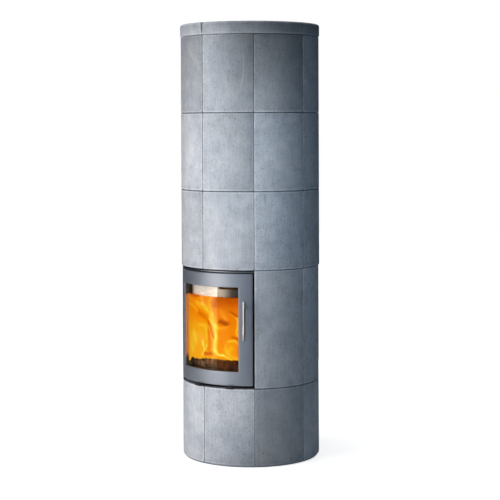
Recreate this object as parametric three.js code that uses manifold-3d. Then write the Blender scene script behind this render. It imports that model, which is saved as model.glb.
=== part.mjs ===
// Round wood stove clad in curved stone segments, with a storage core above the firebox.
// Millimetres, +Z up. The origin is the middle of the underside, and the door faces -Y.
// Angles are degrees round the stove's axis, from the front (-Y) towards the right (+X).

import * as THREE from 'three';
import { mergeVertices } from 'three/addons/utils/BufferGeometryUtils.js';
import Module from 'manifold-3d';

const wasm = await Module();
wasm.setup();

// ---------------------------------------------------------------- driving dimensions

const SEAT = 0.3; // gap between pieces that rest on or fasten to each other
const RUNNING = 0.6; // gap between pieces that move past each other
const OVERRUN = 1; // how far a cutter runs past what it cuts
const WELD = 1; // how far welded sheets run into each other

// Stone mantle
const STONE_ANGLE = 45;
const STONE_THICKNESS = 32;
const STONE_JOINT = 1;
const ARRIS = 2.5; // chamfer along every edge of a stone
const LOWER_RADIUS = 282; // base and door courses
const UPPER_STEP = 3.5; // how far the three courses above the door stand proud of it
const BASE_COURSE = 313; // top of the base course
const DOOR_COURSE = 470;
const UPPER_COURSE = 313;
const UPPER_COURSES = 3;
const BAY_HALF_ANGLE = 45; // the door bay takes two stones' width at the front
const MANTLE_HALF_ANGLE = 135; // the mantle ends here on both sides and leaves the back open

// Cornice
const CORNICE_OVERHANG = 2.5;
const CORNICE_THICKNESS = 50;
const CORNICE_EDGE = 7; // radius of its rounded rim

// Steel base and rear
const BASE_PLATE_RECESS = 6; // from the stone's face
const BASE_PLATE_THICKNESS = 6;
const REAR_COVER_RECESS = 7; // from the stone's face
const REAR_SHEET = 3;
const REAR_FLANGE_DEPTH = 23;
const VENT_SLOT = [150, 9]; // width and height of one rear air slot
const VENT_PITCH = 20;
const VENT_COUNT = 3; // slots in each of the two groups
const LOW_VENT_HEIGHT = 60; // lowest slot of the low group, above the floor
const HIGH_VENT_DROP = 70; // lowest slot of the high group, below the mantle's top

// Firebox body: a welded sheet cylinder from the base plate to above the door
const BODY_GAP = 6; // air gap between the stone and the body
const BODY_SHEET = 4;
const CHAMBER_FLOOR = 322.4; // underside of the floor plate
const LINTEL_GAP = 8.5; // from the body's top to the underside of the upper courses
const OPENING_HALF_ANGLE = 39.5;
const OPENING_BOTTOM = 343;
const OPENING_TOP = 741;
const ROPE_SPACE = 5; // from the door's back to the body's front flange
const FRONT_FLANGE_HALF_ANGLE = 43;
const FLANGE_INSET = 1; // from the door's edges above and below
const SMOKE_OUTLET_RADIUS = 70;
const STRIKE_RECESS = 3; // the door's side stop, a small block in the right-hand gap
const STRIKE_WIDTH = 4;
const STRIKE_BOTTOM = 519;
const STRIKE_LENGTH = 21;

// Door
const DOOR_HALF_ANGLE = 43.5;
const DOOR_BOTTOM = 324;
const DOOR_TOP = 770.5;
const DOOR_THICKNESS = 20;
const DOOR_SKIN = 6; // at the window, where the frame is rebated for the glass
const WINDOW_HALF_ANGLE = 31.8;
const WINDOW_BOTTOM = 380;
const WINDOW_TOP = 715.5;
const GLASS_LAP = 14; // how far the glass reaches past the window all round
const GLASS_THICKNESS = 4;
const GLASS_MARGIN = 2; // the tape and the clamp stay this far from the window's edge
const GASKET_THICKNESS = 2;
const CLAMP_THICKNESS = 4;
const ROPE_WIDTH = 8; // flat door rope
const ROPE_EDGE = 9.5; // from the door's edge to the rope's outer edge

// Door hinge, on an upright axis near the door's left edge
const HINGE_ANGLE = -41.3;
const HINGE_INSET = 10; // from the door's face
const PIN_RADIUS = 5;
const PIN_REACH = 22; // how far each pin goes into the door
const PIN_PLAY = 1; // between a pin's end and the end of its bore
const PIN_COLLAR_RADIUS = 8;
const LUG_RADIUS = 9; // the body's lug that carries the lower pin
const LUG_THICKNESS = 4;
const LUG_DROP = 6; // from the door's bottom edge to the lug's top

// Handle and latch
const HANDLE_ANGLE = 37;
const SPINDLE_HEIGHT = 638;
const SPINDLE_RADIUS = 6;
const GRIP_RADIUS = 6.25;
const GRIP_EDGE = 1.5;
const GRIP_STANDOFF = 35; // from the door's face to the middle of the grip
const GRIP_ABOVE = 28; // grip's length above and below the spindle
const GRIP_BELOW = 128;
const HOOK_THICKNESS = 6;
const HOOK_REACH = 24;
const HOOK_WIDTH = 11;
const HOOK_HUB_RADIUS = 9;
const HOOK_SETBACK = 2; // from the body's inner face to the hook
const ROSE_RADIUS = 10; // the spindle's collar on the door's face
const ROSE_THICKNESS = 2;

// Air slides, turned about the stove's own axis by knobs under the door
const SLIDE_THICKNESS = 3;
const SLIDE_DEPTH = 40;
const PRIMARY_ANGLE = -4.3;
const PRIMARY_SPAN = 15.5;
const SECONDARY_ANGLE = 24.9;
const SECONDARY_SPAN = 11;
const PRIMARY_TRAVEL = [-14, 6];
const SECONDARY_TRAVEL = [-9, 9];
const TONGUE_WIDTH = 12;
const TONGUE_PLAY = 1; // on each side of a tongue in its slot
const KNOB_WIDTH = 26;
const KNOB_HEIGHT = 9.2;
const KNOB_DEPTH = 15;
const KNOB_GAP = 3; // from the stone's face to the back of a knob
const KNOB_DROP = 2; // from the tongue's middle down to the knob's middle
const KNOB_EDGE = 1;
const PORT_SPAN = 8; // degrees covered by one air port in the floor
const PORT_MARGIN = 4; // from the rails' ledges
const RAIL_LEDGE = 8;
const RAIL_THICKNESS = 3.5;

// Firebox lining and hearth
const LINING_THICKNESS = 28;
const LINING_GAP = 4; // between the lining and the body
const LINING_TOP = 700;
const LINING_JOINT = 0.5;
const HEARTH_THICKNESS = 35;
const HEARTH_PLAY = 1; // between the hearth and the lining
const GRATE_SIZE = [220, 200];
const GRATE_THICKNESS = 8;
const GRATE_SLOTS = 9;
const GRATE_SLOT_WIDTH = 9;
const GRATE_RIM = 12; // solid margin in front of and behind the slots
const GRATE_LEDGE = 6;
const GRATE_PLAY = 2; // the grate is this much smaller than its rebate
const ASH_PAN_WALL = 1.5;
const ASH_PAN_HEIGHT = 24;
const ASH_PAN_PLAY = 4; // the pan is this much smaller than its well
const BAFFLE_THICKNESS = 25;
const BAFFLE_PLAY = 4; // from the lining's outer face to the baffle's edge
const BAFFLE_FRONT = 95; // from the stove's axis to the baffle's straight front edge
const DEFLECTOR_SHEET = 2.5;
const DEFLECTOR_SETBACK = 9; // from the front flange's face
const DEFLECTOR_BOTTOM = 670;
const DEFLECTOR_TOP = 716;
const DEFLECTOR_FACE_HALF_ANGLE = 33.5; // beyond it only the shelf runs on to the opening's sides
const DEFLECTOR_SLOT_BOTTOM = 703;
const DEFLECTOR_SLOT_HEIGHT = 8;
const DEFLECTOR_SLOT_ANGLES = [11, 33]; // the air slot near the top runs over the right-hand side only
const DEFLECTOR_SHELF = 32; // depth of its shelf

// Lintel over the door bay
const LINTEL_RECESS = 1; // from the door's face
const LINTEL_LIP = 4.4;
const LINTEL_LEDGE_RECESS = 7;
const LINTEL_SEAT = 8; // how far it reaches inside the body's face

// Smoke path and storage core
const RISER_RADIUS = 75;
const PIPE_SHEET = 3;
const COLLAR_DROP = 162; // from the mantle's top to the collar's middle
const COLLAR_REACH = 17; // from the mantle's face back to the collar's mouth
const COLLAR_RING_RADIUS = 96; // cover ring round the collar, against the rear cover
const COLLAR_RING_SHEET = 2;
const COLLAR_CLEARANCE = 4; // round the collar in the rear cover
const RISER_HEADROOM = 25; // from the riser's cap to the cornice
const CORE_GAP = 12; // between the storage core and the body's line
const CORE_BORE_CLEARANCE = 6;
const CORE_BLOCK_HEIGHT = 340;
const CORE_EDGE = 4;

// Logs on the hearth
const LOG_RADIUS = 27;
const FRONT_LOG_SETBACK = 104; // from the door's face to the front log's middle
const REAR_LOG_ROW = -72; // Y of the rear log
const LOG_CORNER_SETBACK = 37; // from the door's face to the front log's corners
const LOG_TURNS = [1, -5]; // how far each lies out of square

// Facets round the stove, in degrees
const FULL_TURN = 360;
const STONE_FACET = 7.5;
const BODY_FACET = 7.5;
const DOOR_FACET = 4.35;
const SLIDE_FACET = 2.8;
const RING_FACET = 5;

// ---------------------------------------------------------------- derived heights

const baseCourseTop = BASE_COURSE;
const doorCourseTop = baseCourseTop + DOOR_COURSE;
const mantleTop = doorCourseTop + UPPER_COURSES * UPPER_COURSE;
const collarHeight = mantleTop - COLLAR_DROP;
const collarMouth = LOWER_RADIUS + COLLAR_REACH;
const upperRadius = LOWER_RADIUS + UPPER_STEP;
const corniceRadius = upperRadius + CORNICE_OVERHANG;
const rearCoverRadius = LOWER_RADIUS - REAR_COVER_RECESS;
const bodyRadius = LOWER_RADIUS - STONE_THICKNESS - BODY_GAP;
const bodyBottom = BASE_PLATE_THICKNESS + SEAT;
const bodyTop = doorCourseTop - LINTEL_GAP - SEAT;
const bodyInner = bodyRadius - BODY_SHEET;
const liningOuter = bodyInner - LINING_GAP;
const liningInner = liningOuter - LINING_THICKNESS;
const slideInner = bodyInner - SLIDE_DEPTH;
const floorTop = CHAMBER_FLOOR + BODY_SHEET;
const hearthTop = floorTop + SEAT + HEARTH_THICKNESS;
const doorInner = LOWER_RADIUS - DOOR_THICKNESS;
const doorFaceInner = LOWER_RADIUS - DOOR_SKIN;
const flangeRadius = doorInner - ROPE_SPACE;
const deflectorRadius = flangeRadius - DEFLECTOR_SETBACK;
const deflectorShelfRadius = deflectorRadius - DEFLECTOR_SHELF;
const lintelRadius = LOWER_RADIUS - LINTEL_RECESS;
const hingeRadius = LOWER_RADIUS - HINGE_INSET;
const slideTop = CHAMBER_FLOOR - SEAT;
const gripRadius = LOWER_RADIUS + GRIP_STANDOFF;
const frontLogRow = FRONT_LOG_SETBACK - LOWER_RADIUS;
const logCornerRadius = LOWER_RADIUS - LOG_CORNER_SETBACK;
const logLength = 2 * Math.sqrt(logCornerRadius ** 2 - (LOG_RADIUS - frontLogRow) ** 2);

// ---------------------------------------------------------------- materials

const finish = (color, roughness, metalness) =>
  new THREE.MeshStandardMaterial({ color, roughness, metalness });

const stone = finish(0xb4b9c4, 0.85, 0);
const blackSteel = finish(0x1b1c1e, 0.6, 0.5);
const greyPaint = finish(0x9aa3b0, 0.42, 0.6);
const stainless = finish(0xc9cbd0, 0.28, 1);
const castIron = finish(0x2a2826, 0.7, 0.6);
const vermiculite = finish(0x9d8a72, 0.95, 0);
const storageStone = finish(0x7f8288, 0.9, 0);
const ceramicGlass = finish(0x2b2320, 0.05, 0);
const rope = finish(0x3a3a3c, 0.98, 0);
const bark = finish(0x4a3020, 0.95, 0);

// ---------------------------------------------------------------- shapes and solids

const radians = THREE.MathUtils.degToRad;
const degreesOf = (length, radius) => THREE.MathUtils.radToDeg(length / radius);

function planPoint(radius, angle) {
  return new THREE.Vector2(radius * Math.sin(radians(angle)), -radius * Math.cos(radians(angle)));
}

function arc(radius, from, to, facet) {
  const steps = Math.max(1, Math.ceil(Math.abs(to - from) / facet - 1e-6));
  return Array.from({ length: steps + 1 }, (_, i) => planPoint(radius, from + ((to - from) * i) / steps));
}

// Extrudes a plan outline upwards from one height to another, with an optional chamfer.
function upright(shape, bottom, top, chamfer = 0) {
  const geometry = new THREE.ExtrudeGeometry(shape, {
    depth: top - bottom - 2 * chamfer,
    bevelEnabled: chamfer > 0,
    bevelThickness: chamfer,
    bevelSize: chamfer,
    bevelOffset: -chamfer,
    bevelSegments: 1,
    curveSegments: 24,
  });
  return geometry.translate(0, 0, bottom + chamfer);
}

function sector(inner, outer, from, to, bottom, top, facet = BODY_FACET) {
  const outline = [...arc(outer, from, to, facet), ...arc(inner, to, from, facet)];
  return upright(new THREE.Shape(outline), bottom, top);
}

// A sector that is symmetric about the front.
function frontSector(inner, outer, halfAngle, bottom, top, facet = DOOR_FACET) {
  return sector(inner, outer, -halfAngle, halfAngle, bottom, top, facet);
}

function circle(radius, facet = BODY_FACET) {
  return arc(radius, 0, FULL_TURN, facet).slice(0, -1);
}

function disc(radius, bottom, top, chamfer = 0) {
  return upright(new THREE.Shape(circle(radius)), bottom, top, chamfer);
}

function tube(inner, outer, bottom, top, chamfer = 0) {
  const shape = new THREE.Shape(circle(outer));
  shape.holes.push(new THREE.Path(circle(inner)));
  return upright(shape, bottom, top, chamfer);
}

function box(width, depth, bottom, top, x = 0, y = 0) {
  return new THREE.BoxGeometry(width, depth, top - bottom).translate(x, y, (bottom + top) / 2);
}

// A rod that lies along a radius of the stove, between two distances from its axis.
function radialRod(radius, from, to, angle, height, sides = 20) {
  return new THREE.CylinderGeometry(radius, radius, to - from, sides)
    .translate(0, -(from + to) / 2, height)
    .rotateZ(radians(angle));
}

function uprightRod(radius, bottom, top, x, y, sides = 16) {
  return new THREE.CylinderGeometry(radius, radius, top - bottom, sides)
    .rotateX(Math.PI / 2)
    .translate(x, y, (bottom + top) / 2);
}

function toManifold(geometry) {
  const bare = geometry.clone();
  bare.deleteAttribute('normal');
  bare.deleteAttribute('uv');
  const merged = mergeVertices(bare, 1e-4);
  const vertProperties = new Float32Array(merged.attributes.position.array);
  const triVerts = new Uint32Array(merged.index.array);
  return new wasm.Manifold(new wasm.Mesh({ numProp: 3, vertProperties, triVerts }));
}

function toGeometry(manifold) {
  const result = manifold.getMesh();
  const geometry = new THREE.BufferGeometry();
  geometry.setAttribute('position', new THREE.BufferAttribute(result.vertProperties, 3));
  geometry.setIndex(new THREE.BufferAttribute(result.triVerts, 1));
  geometry.computeVertexNormals();
  return geometry;
}

function join(first, ...others) {
  return toGeometry(others.reduce((sum, other) => sum.add(toManifold(other)), toManifold(first)));
}

function cut(first, ...tools) {
  return toGeometry(tools.reduce((rest, tool) => rest.subtract(toManifold(tool)), toManifold(first)));
}

function common(first, second) {
  return toGeometry(toManifold(first).intersect(toManifold(second)));
}

function mesh(name, geometry, material, turn = 0) {
  const piece = new THREE.Mesh(geometry, material);
  piece.name = name;
  piece.rotation.z = radians(turn);
  return piece;
}

// ---------------------------------------------------------------- stone mantle

// One curved stone of a course, from its left seam at angle 0 to the next seam.
function mantleStone(radius, bottom, top) {
  const inner = radius - STONE_THICKNESS;
  const seam = degreesOf(STONE_JOINT / 2, radius);
  const arris = degreesOf(ARRIS, radius);
  const left = seam;
  const right = STONE_ANGLE - seam;
  const outline = [
    ...arc(radius, left + arris, right - arris, STONE_FACET),
    planPoint(radius - ARRIS, right),
    ...arc(inner, right, left, STONE_FACET),
    planPoint(radius - ARRIS, left),
  ];
  return upright(new THREE.Shape(outline), bottom, top, ARRIS);
}

// A course of stones on both sides, from the given angle to the open back.
function course(name, radius, bottom, top, fromAngle) {
  const geometry = mantleStone(radius, bottom, top);
  const perSide = (MANTLE_HALF_ANGLE - fromAngle) / STONE_ANGLE;
  const stones = [];
  for (let i = 0; i < perSide; i += 1) {
    const start = fromAngle + i * STONE_ANGLE;
    stones.push(mesh(`${name}_left_${i + 1}`, geometry, stone, -start - STONE_ANGLE));
    stones.push(mesh(`${name}_right_${i + 1}`, geometry, stone, start));
  }
  return stones;
}

function mantle() {
  const group = new THREE.Group();
  const bedded = BASE_PLATE_THICKNESS + SEAT;
  const half = STONE_JOINT / 2;
  group.add(...course('base_stone', LOWER_RADIUS, bedded, baseCourseTop - half, 0));
  const doorCourse = [baseCourseTop + half, doorCourseTop - half];
  group.add(...course('door_stone', LOWER_RADIUS, ...doorCourse, BAY_HALF_ANGLE));
  for (let i = 0; i < UPPER_COURSES; i += 1) {
    const bottom = doorCourseTop + i * UPPER_COURSE;
    const name = `upper_stone_${i + 1}`;
    group.add(...course(name, upperRadius, bottom + half, bottom + UPPER_COURSE - half, 0));
  }
  return group;
}

// ---------------------------------------------------------------- cornice

// Two half discs with a rounded rim, turned as one and parted down the middle.
function cornice() {
  const bottom = mantleTop + STONE_JOINT / 2;
  const top = mantleTop + CORNICE_THICKNESS;
  const rim = [];
  for (let i = 0; i <= 3; i += 1) {
    const turn = (Math.PI / 2) * (i / 3);
    rim.push([Math.sin(turn) * CORNICE_EDGE, Math.cos(turn) * CORNICE_EDGE]);
  }
  const core = corniceRadius - CORNICE_EDGE;
  const lowerRim = rim.map(([out, drop]) => new THREE.Vector2(core + out, bottom + CORNICE_EDGE - drop));
  const upperRim = rim.map(([out, rise]) => new THREE.Vector2(core + out, top - CORNICE_EDGE + rise));
  const profile = [
    new THREE.Vector2(0, bottom),
    ...lowerRim,
    ...upperRim.reverse(),
    new THREE.Vector2(0, top),
  ];
  const turned = new THREE.LatheGeometry(profile, FULL_TURN / BODY_FACET).rotateX(Math.PI / 2);
  const group = new THREE.Group();
  const side = 2 * corniceRadius;
  for (const [name, sign] of [['cornice_left', -1], ['cornice_right', 1]]) {
    const half = box(side, side, bottom - OVERRUN, top + OVERRUN, sign * (side / 2 + STONE_JOINT / 2), 0);
    group.add(mesh(name, common(turned, half), stone));
  }
  return group;
}

// ---------------------------------------------------------------- base plate and rear cover

function basePlate() {
  return mesh('base_plate', disc(LOWER_RADIUS - BASE_PLATE_RECESS, 0, BASE_PLATE_THICKNESS), blackSteel);
}

// A folded sheet across the open back, with air slots low and high and a hole for the collar.
function rearCover() {
  const bottom = BASE_PLATE_THICKNESS + SEAT;
  const top = mantleTop - STONE_JOINT / 2;
  const edge = MANTLE_HALF_ANGLE + degreesOf(STONE_JOINT, rearCoverRadius);
  const fold = degreesOf(REAR_SHEET, rearCoverRadius);
  const flangeInner = rearCoverRadius - REAR_FLANGE_DEPTH;
  const sheetInner = rearCoverRadius - REAR_SHEET;
  const sheet = sector(sheetInner, rearCoverRadius, edge, FULL_TURN - edge, bottom, top);
  const flanges = [edge, FULL_TURN - edge - fold].map((start) =>
    sector(flangeInner, rearCoverRadius, start, start + fold, bottom, top),
  );
  const collarHole = radialRod(
    RISER_RADIUS + COLLAR_CLEARANCE, flangeInner, collarMouth, 180, collarHeight, 32,
  );
  const slots = [];
  for (const lowest of [LOW_VENT_HEIGHT, mantleTop - HIGH_VENT_DROP]) {
    for (let i = 0; i < VENT_COUNT; i += 1) {
      const height = lowest + i * VENT_PITCH;
      const [width, opening] = VENT_SLOT;
      slots.push(box(width, 2 * REAR_FLANGE_DEPTH, height, height + opening, 0, rearCoverRadius));
    }
  }
  return mesh('rear_cover', cut(join(sheet, ...flanges), collarHole, ...slots), blackSteel);
}

// ---------------------------------------------------------------- firebox body

function fireboxBody() {
  const wall = tube(bodyInner, bodyRadius, bodyBottom, bodyTop);
  const floor = disc(bodyInner + WELD, CHAMBER_FLOOR, floorTop);
  const roof = disc(bodyInner + WELD, bodyTop - BODY_SHEET, bodyTop);
  const flange = frontSector(
    bodyInner + WELD, flangeRadius, FRONT_FLANGE_HALF_ANGLE,
    DOOR_BOTTOM + FLANGE_INSET, DOOR_TOP - FLANGE_INSET,
  );
  const opening = frontSector(
    deflectorShelfRadius, LOWER_RADIUS, OPENING_HALF_ANGLE, OPENING_BOTTOM, OPENING_TOP,
  );
  const ledgeTop = slideTop - SLIDE_THICKNESS - SEAT;
  const ledgeBottom = ledgeTop - RAIL_THICKNESS;
  const railHalf = FRONT_FLANGE_HALF_ANGLE;
  const webOuter = slideInner - RUNNING - SEAT;
  const innerWeb = frontSector(webOuter - RAIL_THICKNESS, webOuter, railHalf, ledgeBottom, floorTop - WELD);
  const innerLedge = frontSector(webOuter - WELD, webOuter + RAIL_LEDGE, railHalf, ledgeBottom, ledgeTop);
  const outerLedge = frontSector(bodyInner - RAIL_LEDGE, bodyInner + WELD, railHalf, ledgeBottom, ledgeTop);
  const [hingeX, hingeY] = planPoint(hingeRadius, HINGE_ANGLE).toArray();
  const lugTop = DOOR_BOTTOM - LUG_DROP;
  const lugBottom = lugTop - LUG_THICKNESS;
  const lugHalf = degreesOf(LUG_RADIUS, hingeRadius);
  const lugArm = [HINGE_ANGLE - lugHalf, HINGE_ANGLE + lugHalf];
  const lug = join(
    sector(bodyInner + WELD, hingeRadius, ...lugArm, lugBottom, lugTop),
    uprightRod(LUG_RADIUS, lugBottom, lugTop, hingeX, hingeY),
  );
  const strikeFrom = DOOR_HALF_ANGLE + degreesOf(RUNNING, LOWER_RADIUS);
  const strikeTo = strikeFrom + degreesOf(STRIKE_WIDTH, LOWER_RADIUS);
  const strikeOuter = LOWER_RADIUS - STRIKE_RECESS;
  const strikeTop = STRIKE_BOTTOM + STRIKE_LENGTH;
  const strike = sector(bodyInner + WELD, strikeOuter, strikeFrom, strikeTo, STRIKE_BOTTOM, strikeTop);
  const holes = [
    disc(SMOKE_OUTLET_RADIUS, bodyTop - BODY_SHEET - OVERRUN, bodyTop + OVERRUN),
    ...[
      [PRIMARY_ANGLE, PRIMARY_TRAVEL],
      [SECONDARY_ANGLE, SECONDARY_TRAVEL],
    ].flatMap(([angle, travel]) => airCuts(angle, travel, ledgeTop)),
  ];
  const welded = join(wall, floor, roof, flange, innerWeb, innerLedge, outerLedge, lug, strike);
  return mesh('firebox_body', cut(welded, opening, ...holes), blackSteel);
}

// The slot that a slide's tongue sweeps in the wall, and the port that the slide covers.
function airCuts(angle, travel, ledgeTop) {
  const tongueHalf = degreesOf(TONGUE_WIDTH / 2 + TONGUE_PLAY, bodyInner);
  const slot = sector(
    bodyInner - OVERRUN, bodyRadius + OVERRUN, angle + travel[0] - tongueHalf, angle + travel[1] + tongueHalf,
    ledgeTop, CHAMBER_FLOOR,
  );
  return [slot, airPort(angle, CHAMBER_FLOOR - OVERRUN, floorTop + OVERRUN)];
}

function airPort(angle, bottom, top) {
  const inner = slideInner + RAIL_LEDGE + PORT_MARGIN;
  const outer = bodyInner - RAIL_LEDGE - PORT_MARGIN;
  return sector(inner, outer, angle - PORT_SPAN / 2, angle + PORT_SPAN / 2, bottom, top);
}

// ---------------------------------------------------------------- lintel over the door

function doorLintel() {
  const halfAngle = BAY_HALF_ANGLE - degreesOf(STONE_JOINT, lintelRadius);
  const bottom = bodyTop + SEAT;
  const lipTop = bottom + LINTEL_LIP;
  const ledgeTop = doorCourseTop + STONE_JOINT / 2 - SEAT;
  const inner = bodyRadius - LINTEL_SEAT;
  const ledgeRadius = LOWER_RADIUS - LINTEL_LEDGE_RECESS;
  const lip = frontSector(inner, lintelRadius, halfAngle, bottom, lipTop);
  const ledge = frontSector(inner, ledgeRadius, halfAngle, bottom, ledgeTop);
  return mesh('door_lintel', join(lip, ledge), stainless);
}

// ---------------------------------------------------------------- lining, hearth, grate, ash pan

function linings() {
  const group = new THREE.Group();
  const joint = degreesOf(LINING_JOINT, liningOuter);
  const spans = {
    lining_right: [BAY_HALF_ANGLE, MANTLE_HALF_ANGLE],
    lining_back: [MANTLE_HALF_ANGLE, FULL_TURN - MANTLE_HALF_ANGLE],
    lining_left: [-MANTLE_HALF_ANGLE, -BAY_HALF_ANGLE],
  };
  for (const [name, [from, to]] of Object.entries(spans)) {
    const board = sector(
      liningInner, liningOuter, from + joint, to - joint, floorTop + SEAT, LINING_TOP,
    );
    group.add(mesh(name, board, vermiculite));
  }
  return group;
}

function hearth() {
  const group = new THREE.Group();
  const radius = liningInner - HEARTH_PLAY;
  const [width, depth] = GRATE_SIZE;
  const bottom = floorTop + SEAT;
  const rebate = hearthTop - GRATE_THICKNESS - SEAT;
  const wellWidth = width - 2 * GRATE_LEDGE;
  const wellDepth = depth - 2 * GRATE_LEDGE;
  const frontHalf = BAY_HALF_ANGLE - degreesOf(LINING_JOINT, liningOuter);
  const frontBrick = frontSector(radius - WELD, liningOuter, frontHalf, bottom, hearthTop, BODY_FACET);
  const block = cut(
    join(disc(radius, bottom, hearthTop), frontBrick),
    box(width, depth, rebate, hearthTop + OVERRUN),
    box(wellWidth, wellDepth, bottom - OVERRUN, hearthTop),
    airPort(PRIMARY_ANGLE, bottom - OVERRUN, hearthTop + OVERRUN),
    airPort(SECONDARY_ANGLE, bottom - OVERRUN, hearthTop + OVERRUN),
  );
  group.add(mesh('hearth_floor', block, vermiculite));
  group.add(mesh('fire_grate', grate(rebate + SEAT), castIron));
  group.add(mesh('ash_pan', ashPan(wellWidth - ASH_PAN_PLAY, wellDepth - ASH_PAN_PLAY, bottom), stainless));
  return group;
}

function grate(bottom) {
  const width = GRATE_SIZE[0] - GRATE_PLAY;
  const depth = GRATE_SIZE[1] - GRATE_PLAY;
  const top = bottom + GRATE_THICKNESS;
  const pitch = width / (GRATE_SLOTS + 1);
  const slotLength = depth - 2 * GRATE_RIM;
  const slots = Array.from({ length: GRATE_SLOTS }, (_, i) =>
    box(GRATE_SLOT_WIDTH, slotLength, bottom - OVERRUN, top + OVERRUN, (i + 1) * pitch - width / 2),
  );
  return cut(box(width, depth, bottom, top), ...slots);
}

function ashPan(width, depth, bottom) {
  const outer = box(width, depth, bottom, bottom + ASH_PAN_HEIGHT);
  const hollow = [width - 2 * ASH_PAN_WALL, depth - 2 * ASH_PAN_WALL];
  return cut(outer, box(...hollow, bottom + ASH_PAN_WALL, bottom + ASH_PAN_HEIGHT + OVERRUN));
}

// ---------------------------------------------------------------- baffle and air-wash deflector

function baffle() {
  const radius = liningOuter - BAFFLE_PLAY;
  const bottom = LINING_TOP + SEAT;
  const top = bottom + BAFFLE_THICKNESS;
  const plate = cut(
    disc(radius, bottom, top),
    box(2 * radius, radius, bottom - OVERRUN, top + OVERRUN, 0, -BAFFLE_FRONT - radius / 2),
  );
  return mesh('baffle_plate', plate, vermiculite);
}

// An angle strip across the opening that turns the air down over the glass. It has an air slot,
// and room for the latch to turn wherever the latch would meet it.
function airWashDeflector() {
  const halfAngle = OPENING_HALF_ANGLE - degreesOf(SEAT, bodyRadius);
  const faceInner = deflectorRadius - DEFLECTOR_SHEET;
  const face = frontSector(
    faceInner, deflectorRadius, DEFLECTOR_FACE_HALF_ANGLE, DEFLECTOR_BOTTOM, DEFLECTOR_TOP,
  );
  const shelf = frontSector(
    deflectorShelfRadius, deflectorRadius, halfAngle, DEFLECTOR_TOP - DEFLECTOR_SHEET, DEFLECTOR_TOP,
  );
  const slotTop = DEFLECTOR_SLOT_BOTTOM + DEFLECTOR_SLOT_HEIGHT;
  const slot = sector(
    deflectorShelfRadius, flangeRadius, ...DEFLECTOR_SLOT_ANGLES, DEFLECTOR_SLOT_BOTTOM, slotTop,
  );
  const sweep = HOOK_REACH + RUNNING;
  const sweepHalf = degreesOf(sweep, bodyInner);
  const latchRoom = sector(
    bodyInner - HOOK_SETBACK - HOOK_THICKNESS - RUNNING, flangeRadius, HANDLE_ANGLE - sweepHalf,
    HANDLE_ANGLE + sweepHalf, SPINDLE_HEIGHT - sweep, SPINDLE_HEIGHT + sweep,
  );
  return mesh('air_wash_deflector', cut(join(face, shelf), slot, latchRoom), stainless);
}

// ---------------------------------------------------------------- door

// A flat frame bent round the stove, as wide as lap on every side of the window.
function bentFrame(inner, outer, halfAngle, bottom, top, width) {
  const side = degreesOf(width, LOWER_RADIUS);
  return cut(
    frontSector(inner, outer, halfAngle, bottom, top),
    frontSector(inner - OVERRUN, outer + OVERRUN, halfAngle - side, bottom + width, top - width),
  );
}

function door() {
  const group = new THREE.Group();
  const lap = degreesOf(GLASS_LAP, LOWER_RADIUS);
  const rebateHalf = WINDOW_HALF_ANGLE + lap;
  const rebate = [WINDOW_BOTTOM - GLASS_LAP, WINDOW_TOP + GLASS_LAP];
  const [hingeX, hingeY] = planPoint(hingeRadius, HINGE_ANGLE).toArray();
  const bore = PIN_RADIUS + RUNNING;
  const frame = cut(
    frontSector(doorInner, LOWER_RADIUS, DOOR_HALF_ANGLE, DOOR_BOTTOM, DOOR_TOP),
    frontSector(doorInner - OVERRUN, LOWER_RADIUS + OVERRUN, WINDOW_HALF_ANGLE, WINDOW_BOTTOM, WINDOW_TOP),
    frontSector(doorInner - OVERRUN, doorFaceInner, rebateHalf, ...rebate),
    uprightRod(bore, DOOR_BOTTOM - OVERRUN, DOOR_BOTTOM + PIN_REACH + PIN_PLAY, hingeX, hingeY),
    uprightRod(bore, DOOR_TOP - PIN_REACH - PIN_PLAY, DOOR_TOP + OVERRUN, hingeX, hingeY),
    radialRod(SPINDLE_RADIUS + RUNNING, doorInner / 2, 2 * LOWER_RADIUS, HANDLE_ANGLE, SPINDLE_HEIGHT),
  );
  group.add(mesh('door_frame', frame, greyPaint));

  const fit = degreesOf(SEAT, LOWER_RADIUS);
  const layerHalf = rebateHalf - fit;
  const layer = [rebate[0] + SEAT, rebate[1] - SEAT];
  const gasketOuter = doorFaceInner - SEAT;
  const gasketInner = gasketOuter - GASKET_THICKNESS;
  const glassOuter = gasketInner - SEAT;
  const glassInner = glassOuter - GLASS_THICKNESS;
  const clampOuter = glassInner - SEAT;
  const clampInner = clampOuter - CLAMP_THICKNESS;
  const frameWidth = GLASS_LAP - GLASS_MARGIN;
  group.add(mesh('glass_gasket', bentFrame(gasketInner, gasketOuter, layerHalf, ...layer, frameWidth), rope));
  group.add(mesh('door_glass', frontSector(glassInner, glassOuter, layerHalf, ...layer), ceramicGlass));
  const clamp = bentFrame(clampInner, clampOuter, layerHalf, ...layer, frameWidth);
  group.add(mesh('glass_clamp', clamp, blackSteel));

  const ropeOuter = doorInner - SEAT;
  const ropeInner = flangeRadius + SEAT;
  const ropeHalf = DOOR_HALF_ANGLE - degreesOf(ROPE_EDGE, LOWER_RADIUS);
  const ropeFrame = bentFrame(
    ropeInner, ropeOuter, ropeHalf, DOOR_BOTTOM + ROPE_EDGE, DOOR_TOP - ROPE_EDGE, ROPE_WIDTH,
  );
  group.add(mesh('door_rope', ropeFrame, rope));
  return group;
}

// ---------------------------------------------------------------- hinge pins

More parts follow.
